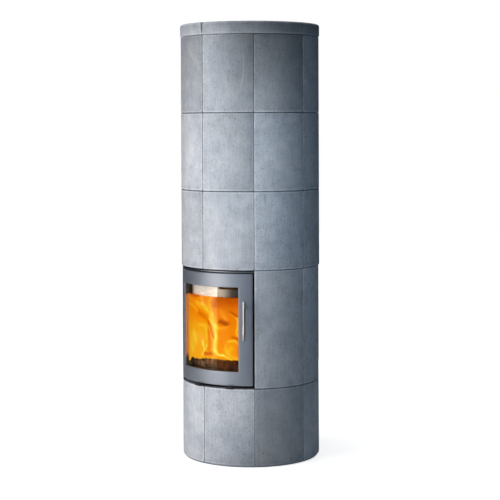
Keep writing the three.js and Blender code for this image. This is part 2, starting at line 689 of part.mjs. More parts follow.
function hingePins() {
  const group = new THREE.Group();
  const [x, y] = planPoint(hingeRadius, HINGE_ANGLE).toArray();
  const lowSeat = DOOR_BOTTOM - LUG_DROP + SEAT;
  const lowCollar = uprightRod(PIN_COLLAR_RADIUS, lowSeat, DOOR_BOTTOM - RUNNING, x, y);
  const lowPin = uprightRod(PIN_RADIUS, lowSeat, DOOR_BOTTOM + PIN_REACH, x, y);
  group.add(mesh('hinge_pin_bottom', join(lowCollar, lowPin), stainless));
  const highSeat = bodyTop;
  const highCollar = uprightRod(PIN_COLLAR_RADIUS, DOOR_TOP + RUNNING, highSeat, x, y);
  const highPin = uprightRod(PIN_RADIUS, DOOR_TOP - PIN_REACH, highSeat, x, y);
  group.add(mesh('hinge_pin_top', join(highCollar, highPin), stainless));
  return group;
}

// ---------------------------------------------------------------- handle and latch

// Built at the front and turned to the handle's angle as one group.
function handle() {
  const group = new THREE.Group();
  group.rotation.z = radians(HANDLE_ANGLE);
  const hookOuter = bodyInner - HOOK_SETBACK;
  const hookInner = hookOuter - HOOK_THICKNESS;

  const spindleOuter = gripRadius - GRIP_RADIUS - SEAT;
  const roseInner = LOWER_RADIUS + RUNNING;
  const spindle = radialRod(SPINDLE_RADIUS, hookInner, spindleOuter, 0, SPINDLE_HEIGHT);
  const rose = radialRod(ROSE_RADIUS, roseInner, roseInner + ROSE_THICKNESS, 0, SPINDLE_HEIGHT);
  group.add(mesh('handle_spindle', join(spindle, rose), stainless));

  const low = SPINDLE_HEIGHT - GRIP_BELOW;
  const high = SPINDLE_HEIGHT + GRIP_ABOVE;
  const profile = [
    [0, low],
    [GRIP_RADIUS - GRIP_EDGE, low],
    [GRIP_RADIUS, low + GRIP_EDGE],
    [GRIP_RADIUS, high - GRIP_EDGE],
    [GRIP_RADIUS - GRIP_EDGE, high],
    [0, high],
  ].map(([radius, height]) => new THREE.Vector2(radius, height));
  const grip = new THREE.LatheGeometry(profile, 20).rotateX(Math.PI / 2).translate(0, -gripRadius, 0);
  group.add(mesh('handle_grip', grip, stainless));

  group.add(mesh('latch_hook', latchHook(hookInner, hookOuter), blackSteel));
  return group;
}

// A flat hook on the spindle's inner end, whose tongue reaches behind the body's edge.
function latchHook(inner, outer) {
  const half = HOOK_WIDTH / 2;
  const hubMeet = Math.sqrt(HOOK_HUB_RADIUS ** 2 - half ** 2);
  const shape = new THREE.Shape();
  shape.moveTo(hubMeet, -half);
  shape.lineTo(HOOK_REACH - half / 2, -half);
  shape.lineTo(HOOK_REACH, -half / 2);
  shape.lineTo(HOOK_REACH, half);
  shape.lineTo(hubMeet, half);
  const start = Math.atan2(half, hubMeet);
  shape.absarc(0, 0, HOOK_HUB_RADIUS, start, 2 * Math.PI - start, false);
  const hole = new THREE.Path();
  hole.absarc(0, 0, SPINDLE_RADIUS + SEAT, 0, 2 * Math.PI, true);
  shape.holes.push(hole);
  const plate = new THREE.ExtrudeGeometry(shape, {
    depth: outer - inner, bevelEnabled: false, curveSegments: 10,
  });
  return plate.rotateX(Math.PI / 2).translate(0, -inner, SPINDLE_HEIGHT);
}

// ---------------------------------------------------------------- air slides

function rectangle(width, depth) {
  const [x, y] = [width / 2, depth / 2];
  return [[-x, -y], [x, -y], [x, y], [-x, y]].map((corner) => new THREE.Vector2(...corner));
}

// A curved plate under the floor, with a tongue through the wall and a knob below the door.
function airSlide(name, angle, span) {
  const bottom = slideTop - SLIDE_THICKNESS;
  const outer = bodyInner - 2 * RUNNING;
  const knobBottom = (bottom + slideTop) / 2 - KNOB_DROP - KNOB_HEIGHT / 2;
  const knobInner = LOWER_RADIUS + KNOB_GAP;
  const tongueFrom = slideInner + RAIL_LEDGE;
  const tongueTo = knobInner + KNOB_DEPTH / 2;
  const plate = sector(slideInner, outer, -span / 2, span / 2, bottom, slideTop, SLIDE_FACET);
  const tongue = box(TONGUE_WIDTH, tongueTo - tongueFrom, bottom, slideTop, 0, -(tongueFrom + tongueTo) / 2);
  const knobShape = new THREE.Shape(rectangle(KNOB_WIDTH, KNOB_DEPTH));
  const knob = upright(knobShape, knobBottom, knobBottom + KNOB_HEIGHT, KNOB_EDGE)
    .translate(0, -knobInner - KNOB_DEPTH / 2, 0);
  return mesh(name, join(plate, tongue, knob), blackSteel, angle);
}

// ---------------------------------------------------------------- smoke path and storage core

function smokePath() {
  const group = new THREE.Group();
  const bottom = bodyTop + SEAT;
  const top = mantleTop - RISER_HEADROOM;
  const bore = RISER_RADIUS - PIPE_SHEET;
  const riser = cut(
    uprightRod(RISER_RADIUS, bottom, top, 0, 0, 32),
    uprightRod(bore, bottom - OVERRUN, top - PIPE_SHEET, 0, 0, 32),
    radialRod(bore, 0, RISER_RADIUS + OVERRUN, 180, collarHeight, 32),
  );
  group.add(mesh('flue_riser', riser, blackSteel));

  const ringInner = rearCoverRadius + SEAT;
  const ringLow = collarHeight - COLLAR_RING_RADIUS;
  const ringHigh = collarHeight + COLLAR_RING_RADIUS;
  const ring = common(
    sector(
      ringInner, ringInner + COLLAR_RING_SHEET, MANTLE_HALF_ANGLE, FULL_TURN - MANTLE_HALF_ANGLE,
      ringLow, ringHigh, RING_FACET,
    ),
    radialRod(COLLAR_RING_RADIUS, bodyRadius, collarMouth, 180, collarHeight, 40),
  );
  const collar = cut(
    join(radialRod(RISER_RADIUS, RISER_RADIUS / 2, collarMouth, 180, collarHeight, 32), ring),
    radialRod(bore, 0, collarMouth + OVERRUN, 180, collarHeight, 32),
    uprightRod(RISER_RADIUS + SEAT, bottom, top, 0, 0, 32),
  );
  group.add(mesh('flue_collar', collar, blackSteel));

  const coreInner = RISER_RADIUS + CORE_BORE_CLEARANCE;
  const coreOuter = bodyInner - CORE_GAP;
  for (const [i, name] of ['storage_core_lower', 'storage_core_upper'].entries()) {
    const base = bodyTop + SEAT + i * (CORE_BLOCK_HEIGHT + SEAT);
    const block = tube(coreInner, coreOuter, base, base + CORE_BLOCK_HEIGHT, CORE_EDGE);
    group.add(mesh(name, block, storageStone));
  }
  return group;
}

// ---------------------------------------------------------------- logs

// A split log lying across the hearth, round where the bark is and flat below.
function fireLog() {
  const shape = new THREE.Shape();
  shape.moveTo(-0.8 * LOG_RADIUS, -LOG_RADIUS);
  shape.lineTo(0.85 * LOG_RADIUS, -LOG_RADIUS);
  shape.absarc(0, 0, LOG_RADIUS, radians(-15), radians(190), false);
  const geometry = new THREE.ExtrudeGeometry(shape, {
    depth: logLength, bevelEnabled: false, curveSegments: 7,
  });
  return geometry.rotateX(Math.PI / 2).rotateZ(Math.PI / 2).translate(-logLength / 2, 0, LOG_RADIUS);
}

function logs() {
  const group = new THREE.Group();
  const geometry = fireLog();
  const rows = [frontLogRow, REAR_LOG_ROW];
  for (const [i, name] of ['log_front', 'log_rear'].entries()) {
    const piece = mesh(name, geometry, bark, LOG_TURNS[i]);
    piece.position.set(0, rows[i], hearthTop + SEAT);
    group.add(piece);
  }
  return group;
}

// ---------------------------------------------------------------- the stove

const stove = new THREE.Group();
stove.add(
  mantle(),
  cornice(),
  basePlate(),
  rearCover(),
  fireboxBody(),
  doorLintel(),
  linings(),
  hearth(),
  baffle(),
  airWashDeflector(),
  door(),
  hingePins(),
  handle(),
  airSlide('primary_air_slide', PRIMARY_ANGLE, PRIMARY_SPAN),
  airSlide('secondary_air_slide', SECONDARY_ANGLE, SECONDARY_SPAN),
  smokePath(),
  logs(),
);
stove.updateMatrixWorld(true);

export default stove;
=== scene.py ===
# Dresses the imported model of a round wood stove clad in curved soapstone.
# Metres, +Z up, and the door faces -Y. Angles are degrees round the stove's axis, from the front
# (-Y) towards the right (+X), and heights are above the floor.

import math
import random

import bmesh
import bpy
from mathutils import Matrix, Vector, noise


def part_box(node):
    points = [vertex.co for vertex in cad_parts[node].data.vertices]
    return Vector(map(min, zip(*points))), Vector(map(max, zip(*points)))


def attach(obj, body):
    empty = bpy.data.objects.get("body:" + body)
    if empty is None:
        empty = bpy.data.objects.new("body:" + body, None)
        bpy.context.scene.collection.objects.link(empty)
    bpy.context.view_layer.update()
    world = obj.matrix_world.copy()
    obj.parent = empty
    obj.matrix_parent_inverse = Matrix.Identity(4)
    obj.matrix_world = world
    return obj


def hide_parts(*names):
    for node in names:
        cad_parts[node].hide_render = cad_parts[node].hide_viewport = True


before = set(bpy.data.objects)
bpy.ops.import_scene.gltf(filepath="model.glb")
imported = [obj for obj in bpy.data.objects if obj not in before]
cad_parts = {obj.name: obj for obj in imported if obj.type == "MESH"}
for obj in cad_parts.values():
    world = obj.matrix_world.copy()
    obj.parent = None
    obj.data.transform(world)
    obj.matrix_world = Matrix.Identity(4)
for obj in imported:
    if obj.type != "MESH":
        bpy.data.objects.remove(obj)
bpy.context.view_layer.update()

# ---------------------------------------------------------------- viewpoint
# The photograph was taken with a long lens from the front right, below the stove's top. The lens
# is shifted down, so that the upright seams stay upright.

CAMERA_ANGLE = 41.836
CAMERA_DISTANCE = 5.8885
CAMERA_HEIGHT = 1.3594
CAMERA_PITCH = 0.779
CAMERA_ROLL = -0.226
FOCAL_LENGTH_PIXELS = 1418.2
OPTICAL_CENTRE_PIXELS = (250.04, 144.39)
FRAME_PIXELS = 500
SENSOR_WIDTH = 36.0


def around(angle, radius, height=0.0):
    """The point at that angle, distance from the stove's axis and height."""
    turn = math.radians(angle)
    return Vector((radius * math.sin(turn), -radius * math.cos(turn), height))


def new_object(name, data):
    """An object with that data, in the scene."""
    made = bpy.data.objects.new(name, data)
    bpy.context.scene.collection.objects.link(made)
    return made


camera = new_object("camera", bpy.data.cameras.new("camera"))
bpy.context.scene.camera = camera
camera.matrix_world = (
    Matrix.Translation(around(CAMERA_ANGLE, CAMERA_DISTANCE, CAMERA_HEIGHT))
    @ Matrix.Rotation(math.radians(CAMERA_ANGLE), 4, "Z")
    @ Matrix.Rotation(math.radians(90 - CAMERA_PITCH), 4, "X")
    @ Matrix.Rotation(math.radians(CAMERA_ROLL), 4, "Z")
)
camera.data.sensor_width = SENSOR_WIDTH
camera.data.lens = FOCAL_LENGTH_PIXELS / FRAME_PIXELS * SENSOR_WIDTH
camera.data.shift_x = 0.5 - OPTICAL_CENTRE_PIXELS[0] / FRAME_PIXELS
camera.data.shift_y = OPTICAL_CENTRE_PIXELS[1] / FRAME_PIXELS - 0.5
bpy.context.scene.view_settings.view_transform = "Standard"

# ---------------------------------------------------------------- base plate
# A round steel plate that the whole stove stands on. It is sprayed in the same grey as the door,
# and only its softly rounded edge shows.


class Signal:
    """A socket in a shader tree, so that shader maths reads as Python expressions."""

    def __init__(self, tree, socket=None):
        self.tree = tree
        self.socket = socket

    def node(self, kind, settings=(), sockets=(), output=0):
        """Adds a node: first its settings, then the values or links of its sockets."""
        made = self.tree.nodes.new("ShaderNode" + kind)
        for name, value in dict(settings).items():
            if name == "stops":
                self.fill_ramp(made.color_ramp, value)
            else:
                setattr(made, name, value)
        for name, value in dict(sockets).items():
            if isinstance(value, Signal):
                self.tree.links.new(value.socket, made.inputs[name])
            else:
                made.inputs[name].default_value = value
        return Signal(self.tree, made.outputs[output] if made.outputs else None)

    @staticmethod
    def fill_ramp(ramp, stops):
        while len(ramp.elements) < len(stops):
            ramp.elements.new(1.0)
        for element, (position, colour) in zip(ramp.elements, stops):
            element.position = position
            element.color = (*colour, 1.0)

    def math(self, operation, first, second=0.0):
        return self.node("Math", {"operation": operation}, {0: first, 1: second})

    def __add__(self, other):
        return self.math("ADD", self, other)

    __radd__ = __add__

    def __sub__(self, other):
        return self.math("SUBTRACT", self, other)

    def __rsub__(self, other):
        return self.math("SUBTRACT", other, self)

    def __mul__(self, other):
        return self.math("MULTIPLY", self, other)

    __rmul__ = __mul__

    def __pow__(self, power):
        return self.math("POWER", self, power)

    def between(self, low, high):
        """0 at low and 1 at high, with a smooth rise."""
        sockets = {"Value": self, "From Min": low, "From Max": high}
        return self.node("MapRange", {"interpolation_type": "SMOOTHSTEP"}, sockets)

    def within(self, low, full, fading, high):
        """1 from full to fading, and smoothly down to 0 at low and at high."""
        return self.between(low, full) * (1.0 - self.between(fading, high))

    def blend(self, first, second):
        """The colour first where this is 0 and second where it is 1."""
        return self.node("Mix", {"data_type": "RGBA"}, {0: self, 6: first, 7: second}, 2)

    def tinted(self, colour):
        """The colour made darker or lighter by this factor."""
        settings = {"data_type": "RGBA", "blend_type": "MULTIPLY"}
        return self.node("Mix", settings, {0: 1.0, 6: colour, 7: self}, 2)

    def stretched(self, scale):
        """These coordinates scaled by three factors."""
        return self.node("VectorMath", {"operation": "MULTIPLY"}, {0: self, 1: scale})

    def cloud(self, scale, detail=3.0, roughness=0.55, distortion=0.0):
        """Soft noise about 0.5, at that many waves per metre of these coordinates."""
        names = ("Vector", "Scale", "Detail", "Roughness", "Distortion")
        values = (self, scale, detail, roughness, distortion)
        return self.node("TexNoise", {}, zip(names, values), "Fac")

    def bump(self, strength, distance):
        """A surface normal with this height on it."""
        return self.node("Bump", {}, {"Height": self, "Strength": strength, "Distance": distance})

    def also(self, output):
        """Another output of the node that this comes from."""
        return Signal(self.tree, self.socket.node.outputs[output])


def emptied(owner):
    """The start of the empty shader tree of a new material or world."""
    owner.use_nodes = True
    owner.node_tree.nodes.clear()
    start = Signal(owner.node_tree)
    start.owner = owner
    return start


def new_material(name):
    return emptied(bpy.data.materials.new(name))


def principled(start, **sockets):
    """Ends a material with a Principled surface; underscores in the names stand for spaces."""
    named = {name.replace("_", " "): value for name, value in sockets.items()}
    shader = start.node("BsdfPrincipled", {}, named)
    start.node("OutputMaterial", {}, {"Surface": shader})
    return start.owner


def object_space(start):
    return start.node("TexCoord", {}, {}, "Object")


def heat_proof_paint(name, colour, roughness, metallic=0.0):
    """Sprayed stove paint: a fine orange-peel skin with faint handling marks."""
    start = new_material(name)
    place = object_space(start)
    grain = place.cloud(900, 2)
    wear = place.cloud(9, 4, 0.6)
    return principled(
        start,
        Base_Color=(0.94 + grain * 0.05 + wear * 0.07).tinted((*colour, 1.0)),
        Roughness=roughness + wear * 0.1 - 0.05,
        Metallic=metallic,
        Normal=grain.bump(0.12, 0.0004),
    )


CREASE = 32  # degrees: a sharper edge is shaded as an edge


def new_mesh(name, shape):
    vertices, faces = shape
    mesh = bpy.data.meshes.new(name)
    mesh.from_pydata([tuple(v) for v in vertices], [], faces)
    return mesh


def shade(mesh, crease):
    mesh.shade_smooth()
    mesh.set_sharp_from_angle(angle=math.radians(crease))


def store(mesh, name, values):
    """Keeps one value for each vertex, for the material to read with stored()."""
    if isinstance(values[0], Vector):
        layer = mesh.attributes.new(name, "FLOAT_VECTOR", "POINT")
        layer.data.foreach_set("vector", [x for value in values for x in value])
    else:
        layer = mesh.attributes.new(name, "FLOAT", "POINT")
        layer.data.foreach_set("value", values)


def stored(start, name, output="Fac"):
    return start.node("Attribute", {"attribute_name": name}, {}, output)


def add_piece(name, body, shape, material, node=None, slot=None, crease=CREASE, **values):
    """Puts a mesh in the scene on its body, in place of a CAD node where one is named. Values
    holds lists with one value for each vertex."""
    mesh = new_mesh(name, shape)
    mesh.validate()
    mesh.materials.append(material)
    shade(mesh, crease)
    piece = new_object(name, mesh)
    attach(piece, body)
    if node:
        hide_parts(node)
    for value_name, numbers in values.items():
        store(mesh, value_name, numbers)
    return piece


def loft(rings, closed=False):
    """Joins rings of equally many points into a skin: a closed one, or one with two flat caps."""
    count = len(rings[0])
    vertices = [point for ring in rings for point in ring]
    faces = []
    for i in range(len(rings) if closed else len(rings) - 1):
        low = i * count
        high = (i + 1) % len(rings) * count
        for j in range(count):
            k = (j + 1) % count
            faces.append((low + j, low + k, high + k, high + j))
    if not closed:
        faces.append(tuple(reversed(range(count))))
        faces.append(tuple(range((len(rings) - 1) * count, len(rings) * count)))
    return vertices, faces


def revolved(profile, origin, axis, side, steps):
    """A solid of revolution from (radius, distance along the axis) points."""
    other = axis.cross(side)
    turns = [math.tau * i / steps for i in range(steps)]
    spokes = [side * math.cos(turn) + other * math.sin(turn) for turn in turns]
    rings = []
    for radius, distance in profile:
        rings.append([origin + axis * distance + spoke * radius for spoke in spokes])
    return loft(rings)


def turned(profile, steps, centre=(0.0, 0.0)):
    """A solid of revolution about an upright axis from (radius, height) points."""
    return revolved(profile, Vector((*centre, 0)), Vector((0, 0, 1)), Vector((1, 0, 0)), steps)


def quarter_round(rounding, steps):
    """A rounded edge as (inset, rise) pairs, from its deepest inset to none."""
    turns = [math.pi / 2 * i / steps for i in range(steps + 1)]
    return [(rounding * (1 - math.sin(turn)), rounding * (1 - math.cos(turn))) for turn in turns]


def rounded_profile(radius, bottom, top, rounding, steps=4):
    """The (radius, height) points of a disc or rod with rounded rims."""
    edge = quarter_round(rounding, steps)
    lower = [(radius - inset, bottom + rise) for inset, rise in edge]
    return lower + [(radius - inset, top - rise) for inset, rise in reversed(edge)]


POLE = 0.0001  # the radius at which a turned solid or the floor is closed at its axis
PLATE_ROUNDING = 0.0008
DOOR_GREY = (0.45, 0.50, 0.58)
grey_paint = heat_proof_paint("satin_grey_stove_paint", DOOR_GREY, 0.47, 0.92)
plate_low, plate_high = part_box("base_plate")
plate_profile = rounded_profile(plate_high.x, plate_low.z, plate_high.z, PLATE_ROUNDING)
plate_shape = turned(plate_profile, 144)
add_piece("standing_plate", "stove", plate_shape, grey_paint, "base_plate", "black_steel")

# ---------------------------------------------------------------- soapstone mantle
# Curved stones sawn from soapstone, 32 mm thick, honed by hand and laid dry in five courses. The
# faces show clouds, a fine grain and upright honing marks, and the arrises are softly chipped.
# Painted light: the arrises carry a painted highlight, the joints painted shade, and each stone
# painted light and shade from its corner values.

STONE_ANGLE = 45.0
STONE_THICKNESS = 0.032
STONE_HALF_JOINT = 0.0005
STONE_ARRIS = 0.0022
STONE_COLUMN = 1.5  # degrees between two upright rows of points
STONE_ROW = 0.012
CHIPPED_WIDTH = 1.6 * STONE_ARRIS
CHIP_DEPTH = 0.0012
CHIPS_PER_METRE = 70
BRIGHT_ARRIS_ANGLE = 45.0  # the stones that start here have a painted highlight on their left arris,
BRIGHT_ARRIS = 0.0024  # and no painted joint shade within this width
CORNER_STEPS = 3  # of a block's rounded edges and corners
DEEPEST_INSET = 0.97  # share of the rounding, so that a corner never shrinks to a point


def bent_outline(inner, outer, start, end, inset, rounding, column):
    """The plan of a curved block drawn in by inset, as (angle, radius) points."""
    corner = rounding - inset
    points = []
    steps = max(2, round((end - start) / column))
    corners = (
        (outer, start, 1, -1, True),
        (outer, end, 1, 1, False),
        (inner, end, -1, 1, True),
        (inner, start, -1, -1, False),
    )
    for index, (radius, angle, out, side, from_side) in enumerate(corners):
        centre_radius = radius - out * rounding
        centre_angle = angle - side * math.degrees(rounding / radius)
        for i in range(CORNER_STEPS + 1):
            turn = math.pi / 2 * i / CORNER_STEPS
            along, across = math.cos(turn), math.sin(turn)
            if not from_side:
                along, across = across, along
            shift = math.degrees(side * corner * along / radius)
            points.append((centre_angle + shift, centre_radius + out * corner * across))
        if index in (0, 2):
            face_radius = radius - out * inset
            first, last = (start, end) if index == 0 else (end, start)
            for i in range(1, steps):
                points.append((first + (last - first) * i / steps, face_radius))
    return points


def bent_block(inner, outer, start, end, bottom, top, rounding, column=STONE_COLUMN, row=None):
    """A curved block with rounded edges, as rings of (angle, radius, height) points."""
    rims = rounded_profile(0.0, bottom, top, rounding, CORNER_STEPS)
    levels = [(-edge * DEEPEST_INSET, height) for edge, height in rims]
    height = top - bottom - 2 * rounding
    rows = max(1, round(height / row)) if row else 1
    middle = len(levels) // 2
    levels[middle:middle] = [(0.0, bottom + rounding + height * i / rows) for i in range(1, rows)]
    rings = []
    for inset, level in levels:
        plan = bent_outline(inner, outer, start, end, inset, rounding, column)
        rings.append([(angle, radius, level) for angle, radius in plan])
    return rings


def bent_solid(*sizes, **options):
    """The shape of a curved block with rounded edges, from bent_block's sizes."""
    return loft([[around(*point) for point in ring] for ring in bent_block(*sizes, **options)])


def soapstone(name, scratched=False):
    start = new_material(name)
    lie = stored(start, "lie", "Vector")
    rim = stored(start, "rim")
    # tone is the stone's own tone with painted light and shade laid over it.
    tone = stored(start, "tone")
    clouds = lie.cloud(7, 5, 0.55, 0.6)
    veil = lie.cloud(26, 4, 0.6, 0.3)
    honing = lie.stretched((260.0, 260.0, 14.0)).cloud(1, 3, 0.6)
    speckle = lie.cloud(420, 2, 0.7)
    flecks = lie.cloud(150, 3, 0.7).between(0.56, 0.70)
    value = 1.0 + (clouds - 0.5) * 0.50 + (veil - 0.5) * 0.55 + (honing - 0.5) * 0.50
    value = value + (speckle - 0.5) * 0.95 - flecks * 0.42
    # Painted highlight along the arrises, and painted shade in the joints and along the cornice's
    # top edge. The face is also darker within 35 mm of every edge.
    arris = rim.within(0.0018, 0.0036, 0.005, 0.009)
    joint = 1.0 - rim.between(0.0004, 0.0024)
    handled = 1.0 - rim.between(0.0, 0.035)
    value = (value + arris * 0.24 - joint * 0.55 - handled * 0.10 + 0.09) * tone
    if scratched:
        value = value + scratch_mark(start) * 0.32
    colour = clouds.between(0.25, 0.8).blend((0.47, 0.515, 0.585, 1.0), (0.51, 0.535, 0.575, 1.0))
    height = speckle * 0.5 + honing * 0.5 + veil
    return principled(
        start,
        Base_Color=value.tinted(colour),
        Roughness=0.62 + (veil - 0.5) * 0.3,
        Specular_IOR_Level=0.2,
        Normal=height.bump(0.25, 0.0012),
    )


# One stone of the top course carries a pale curved scratch, drawn as part of a circle's arc.
SCRATCH_CENTRE = (-0.160, 1.600)  # along the face from the front seam, and height
SCRATCH_RADIUS = 0.345
SCRATCH_HALF_WIDTH = 0.0024
SCRATCH_HEIGHTS = (1.49, 1.52, 1.63, 1.66)  # rises, then fades


def turn_and_height(start):
    """The angle round the stove in radians, from the front, and the height of a shading point."""
    split = start.node("SeparateXYZ", {}, {0: object_space(start)})
    return split.math("ARCTAN2", split, split.also("Y") * -1.0), split.also("Z")


def scratch_mark(start):
    turn, z = turn_and_height(start)
    du = turn * UPPER_RADIUS - SCRATCH_CENTRE[0]
    dz = z - SCRATCH_CENTRE[1]
    distance = (du * du + dz * dz) ** 0.5
    offset = distance.math("ABSOLUTE", distance - SCRATCH_RADIUS)
    line = 1.0 - offset.between(0.0, SCRATCH_HALF_WIDTH)
    return line * z.within(*SCRATCH_HEIGHTS)


def quarry_place(seed):
    """A stone's place in the quarry block, whose clouds and veins it shows."""
    luck = random.Random(seed)
    return Vector((luck.uniform(0, 9), luck.uniform(0, 9), luck.uniform(0, 9)))


def lay_stone(node, outer, start, tones_and_light, material, seed):
    """One stone of the mantle, with a tone at each corner of its face: its own tone and painted
    light and shade.
    """
    bottom, top = (corner.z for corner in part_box(node))
    gap = math.degrees(STONE_HALF_JOINT / outer)
    # Painted highlight: these stones' left arris is painted bright, with no painted joint shade.
    painted_highlight_shift = BRIGHT_ARRIS if start == BRIGHT_ARRIS_ANGLE else 0.0
    end = start + STONE_ANGLE
    inner = outer - STONE_THICKNESS
    rings = bent_block(
        inner, outer, start + gap, end - gap, bottom, top, STONE_ARRIS, row=STONE_ROW
    )
    quarry = quarry_place(seed)
    points = []
    lies = []
    rims = []
    toned_and_lit = []
    for angle, radius, height in (point for ring in rings for point in ring):
        across, up = (angle - start) / STONE_ANGLE, (height - bottom) / (top - bottom)
        low_tone_and_light = tones_and_light[0] + (tones_and_light[1] - tones_and_light[0]) * across
        high_tone_and_light = tones_and_light[2] + (tones_and_light[3] - tones_and_light[2]) * across
        toned_and_lit.append(low_tone_and_light + (high_tone_and_light - low_tone_and_light) * up)
        along = math.radians(angle - start) * outer
        to_end = math.radians(end - angle) * outer
        edge = min(along + painted_highlight_shift, to_end, height - bottom, top - height)
        spot = Vector((along, radius, height))
        if min(along, edge) < CHIPPED_WIDTH:
            radius -= CHIP_DEPTH * max(0.0, noise.noise(spot * CHIPS_PER_METRE + quarry))
        points.append(around(angle, radius, height))
        lies.append(quarry + Vector((along, radius, height)))
        rims.append(edge)
    count = len(rings[0])
    shape = loft([points[i : i + count] for i in range(0, len(points), count)])
    name = node + "_face"
    add_piece(name, "stove", shape, material, node, "stone", lie=lies, rim=rims, tone=toned_and_lit)


LOWER_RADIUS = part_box("base_stone_right_2")[1].x
UPPER_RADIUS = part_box("upper_stone_1_right_2")[1].x
EVEN_TONES = (1.0, 1.0, 1.0, 1.0)
plain_stone = soapstone("honed_soapstone")
scratched_stone = soapstone("honed_soapstone_scratched", scratched=True)
COURSES = (
    ("base_stone", LOWER_RADIUS, (1, 2, 3)),
    ("door_stone", LOWER_RADIUS, (2, 3)),
    ("upper_stone_1", UPPER_RADIUS, (1, 2, 3)),
    ("upper_stone_2", UPPER_RADIUS, (1, 2, 3)),
    ("upper_stone_3", UPPER_RADIUS, (1, 2, 3)),
)
# How light a stone is at its lower left, lower right, upper left and upper right corners, where
# it isn't 1 at all four: partly its own tone, partly painted light and shade.
STONE_TONES_AND_LIGHT = {
    "base_stone_left_1": (1.06, 1.06, 1.05, 1.05),
    "base_stone_right_1": (1.05, 0.85, 1.00, 1.25),
    "base_stone_right_2": (0.66, 0.78, 0.87, 0.80),
    "door_stone_right_2": (0.95, 0.95, 1.30, 1.00),
    "upper_stone_1_left_1": (0.88, 0.83, 0.93, 0.92),
    "upper_stone_1_right_1": (0.87, 0.96, 0.94, 1.05),
    "upper_stone_1_right_2": (1.20, 1.05, 1.24, 1.05),
    "upper_stone_2_left_1": (1.03, 1.06, 1.05, 1.15),
    "upper_stone_2_right_1": (1.07, 0.77, 1.10, 0.78),
    "upper_stone_2_right_2": (1.15, 1.00, 1.25, 1.00),
    "upper_stone_3_left_1": (0.87, 0.99, 0.79, 0.90),
    "upper_stone_3_right_1": (1.16, 0.84, 1.36, 0.48),
    "upper_stone_3_right_2": (1.06, 0.80, 0.60, 0.58),
}
for course_index, (course, radius, places) in enumerate(COURSES):
    for count, place in enumerate(places, 1):
        for side, start in (("right", (place - 1) * STONE_ANGLE), ("left", -place * STONE_ANGLE)):
            node = f"{course}_{side}_{count}"
            finish = scratched_stone if node == "upper_stone_3_right_1" else plain_stone
            seed = 10 * course_index + place + (5 if side == "left" else 0)
            lay_stone(node, radius, start, STONE_TONES_AND_LIGHT.get(node, EVEN_TONES), finish, seed)

# ---------------------------------------------------------------- cornice
# A 50 mm thick stone lid in two half discs, parted on the front-to-back line. Its rim is rounded
# top and bottom, and it stands a little proud of the mantle.

CORNICE_ROUNDING = 0.007
CORNICE_SEAM_ARRIS = 0.001
CORNICE_FOOT = 0.003  # the height of the top edge that carries painted shade
CORNICE_TOP_EDGE = 0.0004  # the height of the edge that its top face leaves dark
HALF_DISC_STEPS = 60
SEAM_STEPS = 12
FOOT_RIM = 0.0043  # a distance from the rim that gets a painted arris highlight
TOP_RIM = 0.05  # and one that it shows as a plain face
CORNICE_SHADED_RIGHT = 0.68  # painted shade: how light it is on its right
CORNICE_LIT_FRONT = 0.5  # painted light: more than that in front


def smooth_rise(value, low, high):
    """0 at low and 1 at high, with a smooth rise."""
    share = min(1.0, max(0.0, (value - low) / (high - low)))
    return share * share * (3 - 2 * share)


def half_disc_ring(radius, seam, side, height):
    """The plan of a half disc: a half circle on that side and the seam's straight edge."""
    ring = []
    first = math.degrees(math.asin(seam / radius))
    for i in range(HALF_DISC_STEPS + 1):
        angle = first + (180 - 2 * first) * i / HALF_DISC_STEPS
        ring.append(around(angle * side, radius, height))
    for i in range(1, SEAM_STEPS):
        ring.append(Vector((seam * side, radius - 2 * radius * i / SEAM_STEPS, height)))
    return ring


def half_cornice(node, side, seed):
    low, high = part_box(node)
    radius = high.x if side > 0 else -low.x
    seam = low.x if side > 0 else -high.x
    rings = []
    for edge, height in rounded_profile(radius, low.z, high.z, CORNICE_ROUNDING):
        draw = min(radius - edge, CORNICE_SEAM_ARRIS)
        rings.append(half_disc_ring(edge, seam + draw, side, height))
    shape = loft(rings)
    quarry = quarry_place(seed)
    lies = [point + quarry for point in shape[0]]
    rims = []
    for point in shape[0]:
        # Painted shade along the top edge and a painted highlight along the foot, set through the
        # rim.
        rim = min(abs(point.x) - seam, max(0.0, high.z - CORNICE_TOP_EDGE - point.z))
        if point.z > high.z - 0.0001:
            rim = TOP_RIM
        elif point.z < low.z + CORNICE_FOOT:
            rim = FOOT_RIM
        rims.append(rim)
    # Painted light and shade: lighter in front than on the right.
    turns = [math.degrees(math.atan2(point.x, -point.y)) for point in shape[0]]
    tones_and_light = [CORNICE_SHADED_RIGHT + CORNICE_LIT_FRONT * (1.0 - smooth_rise(turn, 0, 60)) for turn in turns]
    name = node + "_face"
    add_piece(name, "stove", shape, plain_stone, node, "stone", lie=lies, rim=rims, tone=tones_and_light)


half_cornice("cornice_left", -1, 70)
half_cornice("cornice_right", 1, 72)

# ---------------------------------------------------------------- rear cover
# A 3 mm sheet folded at both edges, painted matt black. It closes the open back of the mantle and
# has two groups of air slots and a hole for the flue collar.

BLACK_PAINT = (0.022, 0.022, 0.024)
COPY_CREASE = 20
black_paint = heat_proof_paint("matt_black_stove_paint", BLACK_PAINT, 0.55)


